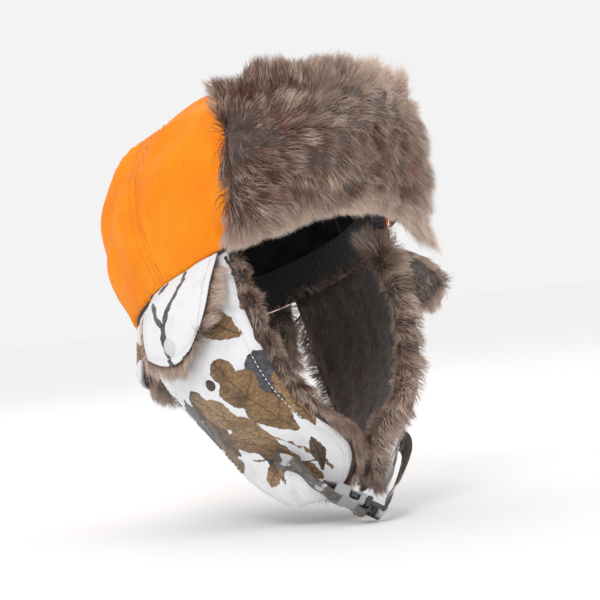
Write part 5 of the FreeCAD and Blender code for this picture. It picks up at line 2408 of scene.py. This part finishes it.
# ---- stage
@dataclass
class Stage:
    """Floor, lights and camera."""

    azimuth: float = math.radians(-37)
    distance: float = 1.5
    lens: float = 124.2
    roll: float = math.radians(6)
    shift: tuple[float, ...] = (0.0633, -0.035)

    def floor(self) -> None:
        """A wide flat sheet just under the hat."""
        x, y = across_grid((-6, -6), (6, 6), 3, 3)
        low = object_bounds()[0][2]
        points = np.stack([x, y, np.full_like(x, low - 0.0005)], -1)
        sheet = add_mesh("floor", points.reshape(-1, 3), grid_faces(3, 3)[:, ::-1],
                         np.stack([x, y], -1).reshape(-1, 2))
        Studio("studio_floor").dress(sheet)
        sheet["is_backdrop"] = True

    def light(self, name: str, place: Sequence[float], size: float, power: float) -> None:
        """One soft square light that faces the hat.

        Args:
            name: Its name.
            place: Where it stands.
            size: Its side.
            power: In watts.
        """
        lamp = bpy.data.lights.new(name, "AREA")
        lamp.size, lamp.energy = size, power
        made = bpy.data.objects.new(name, lamp)
        bpy.context.scene.collection.objects.link(made)
        made.location = place
        made.rotation_euler = (-Vector(place)).to_track_quat("-Z", "Y").to_euler()

    def camera(self) -> None:
        """A long lens level with the head opening, rolled a little to the right."""
        lens = bpy.data.cameras.new("camera")
        lens.lens, lens.sensor_width = self.lens, 36.0
        lens.shift_x, lens.shift_y = self.shift
        lens.clip_end = 50.0
        made = bpy.data.objects.new("camera", lens)
        bpy.context.scene.collection.objects.link(made)
        ahead = Vector((-math.sin(self.azimuth), math.cos(self.azimuth), 0.0))
        made.location = -ahead * self.distance
        turn = Matrix.Rotation(self.roll, 4, ahead) @ ahead.to_track_quat("-Z", "Y").to_matrix().to_4x4()
        made.rotation_euler = turn.to_euler()
        bpy.context.scene.camera = made

    def build(self) -> None:
        """Sets everything up."""
        self.floor()
        bpy.context.scene.view_settings.view_transform = "Standard"
        self.light("key", (-1.2, -0.9, 1.3), 0.7, 9.0)
        self.light("fill", (0.9, -1.6, 0.5), 1.4, 1.5)
        self.light("back", (0.5, 1.3, 1.2), 1.2, 4.0)
        world = bpy.data.worlds.new("studio")
        bpy.context.scene.world = world
        world.use_nodes = True
        sky = world.node_tree.nodes["Background"].inputs
        sky[0].default_value = (1.0, 1.0, 1.0, 1.0)
        sky[1].default_value = 0.90
        self.camera()


def main() -> None:
    """Builds the hat round its frame, then the stage."""
    logging.basicConfig(level=logging.INFO, format="%(message)s")
    FRAME.update(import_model())
    Crown().build()
    Sweatband().build()
    BrowFlap().build()
    for side in Side:
        EarFlap(side).build()
        EarCover(side).build()
        Snaps().build(side)
    NeckCurtain().build()
    Buckle().build()
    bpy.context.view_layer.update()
    Stage().build()


if __name__ == "__main__":
    main()
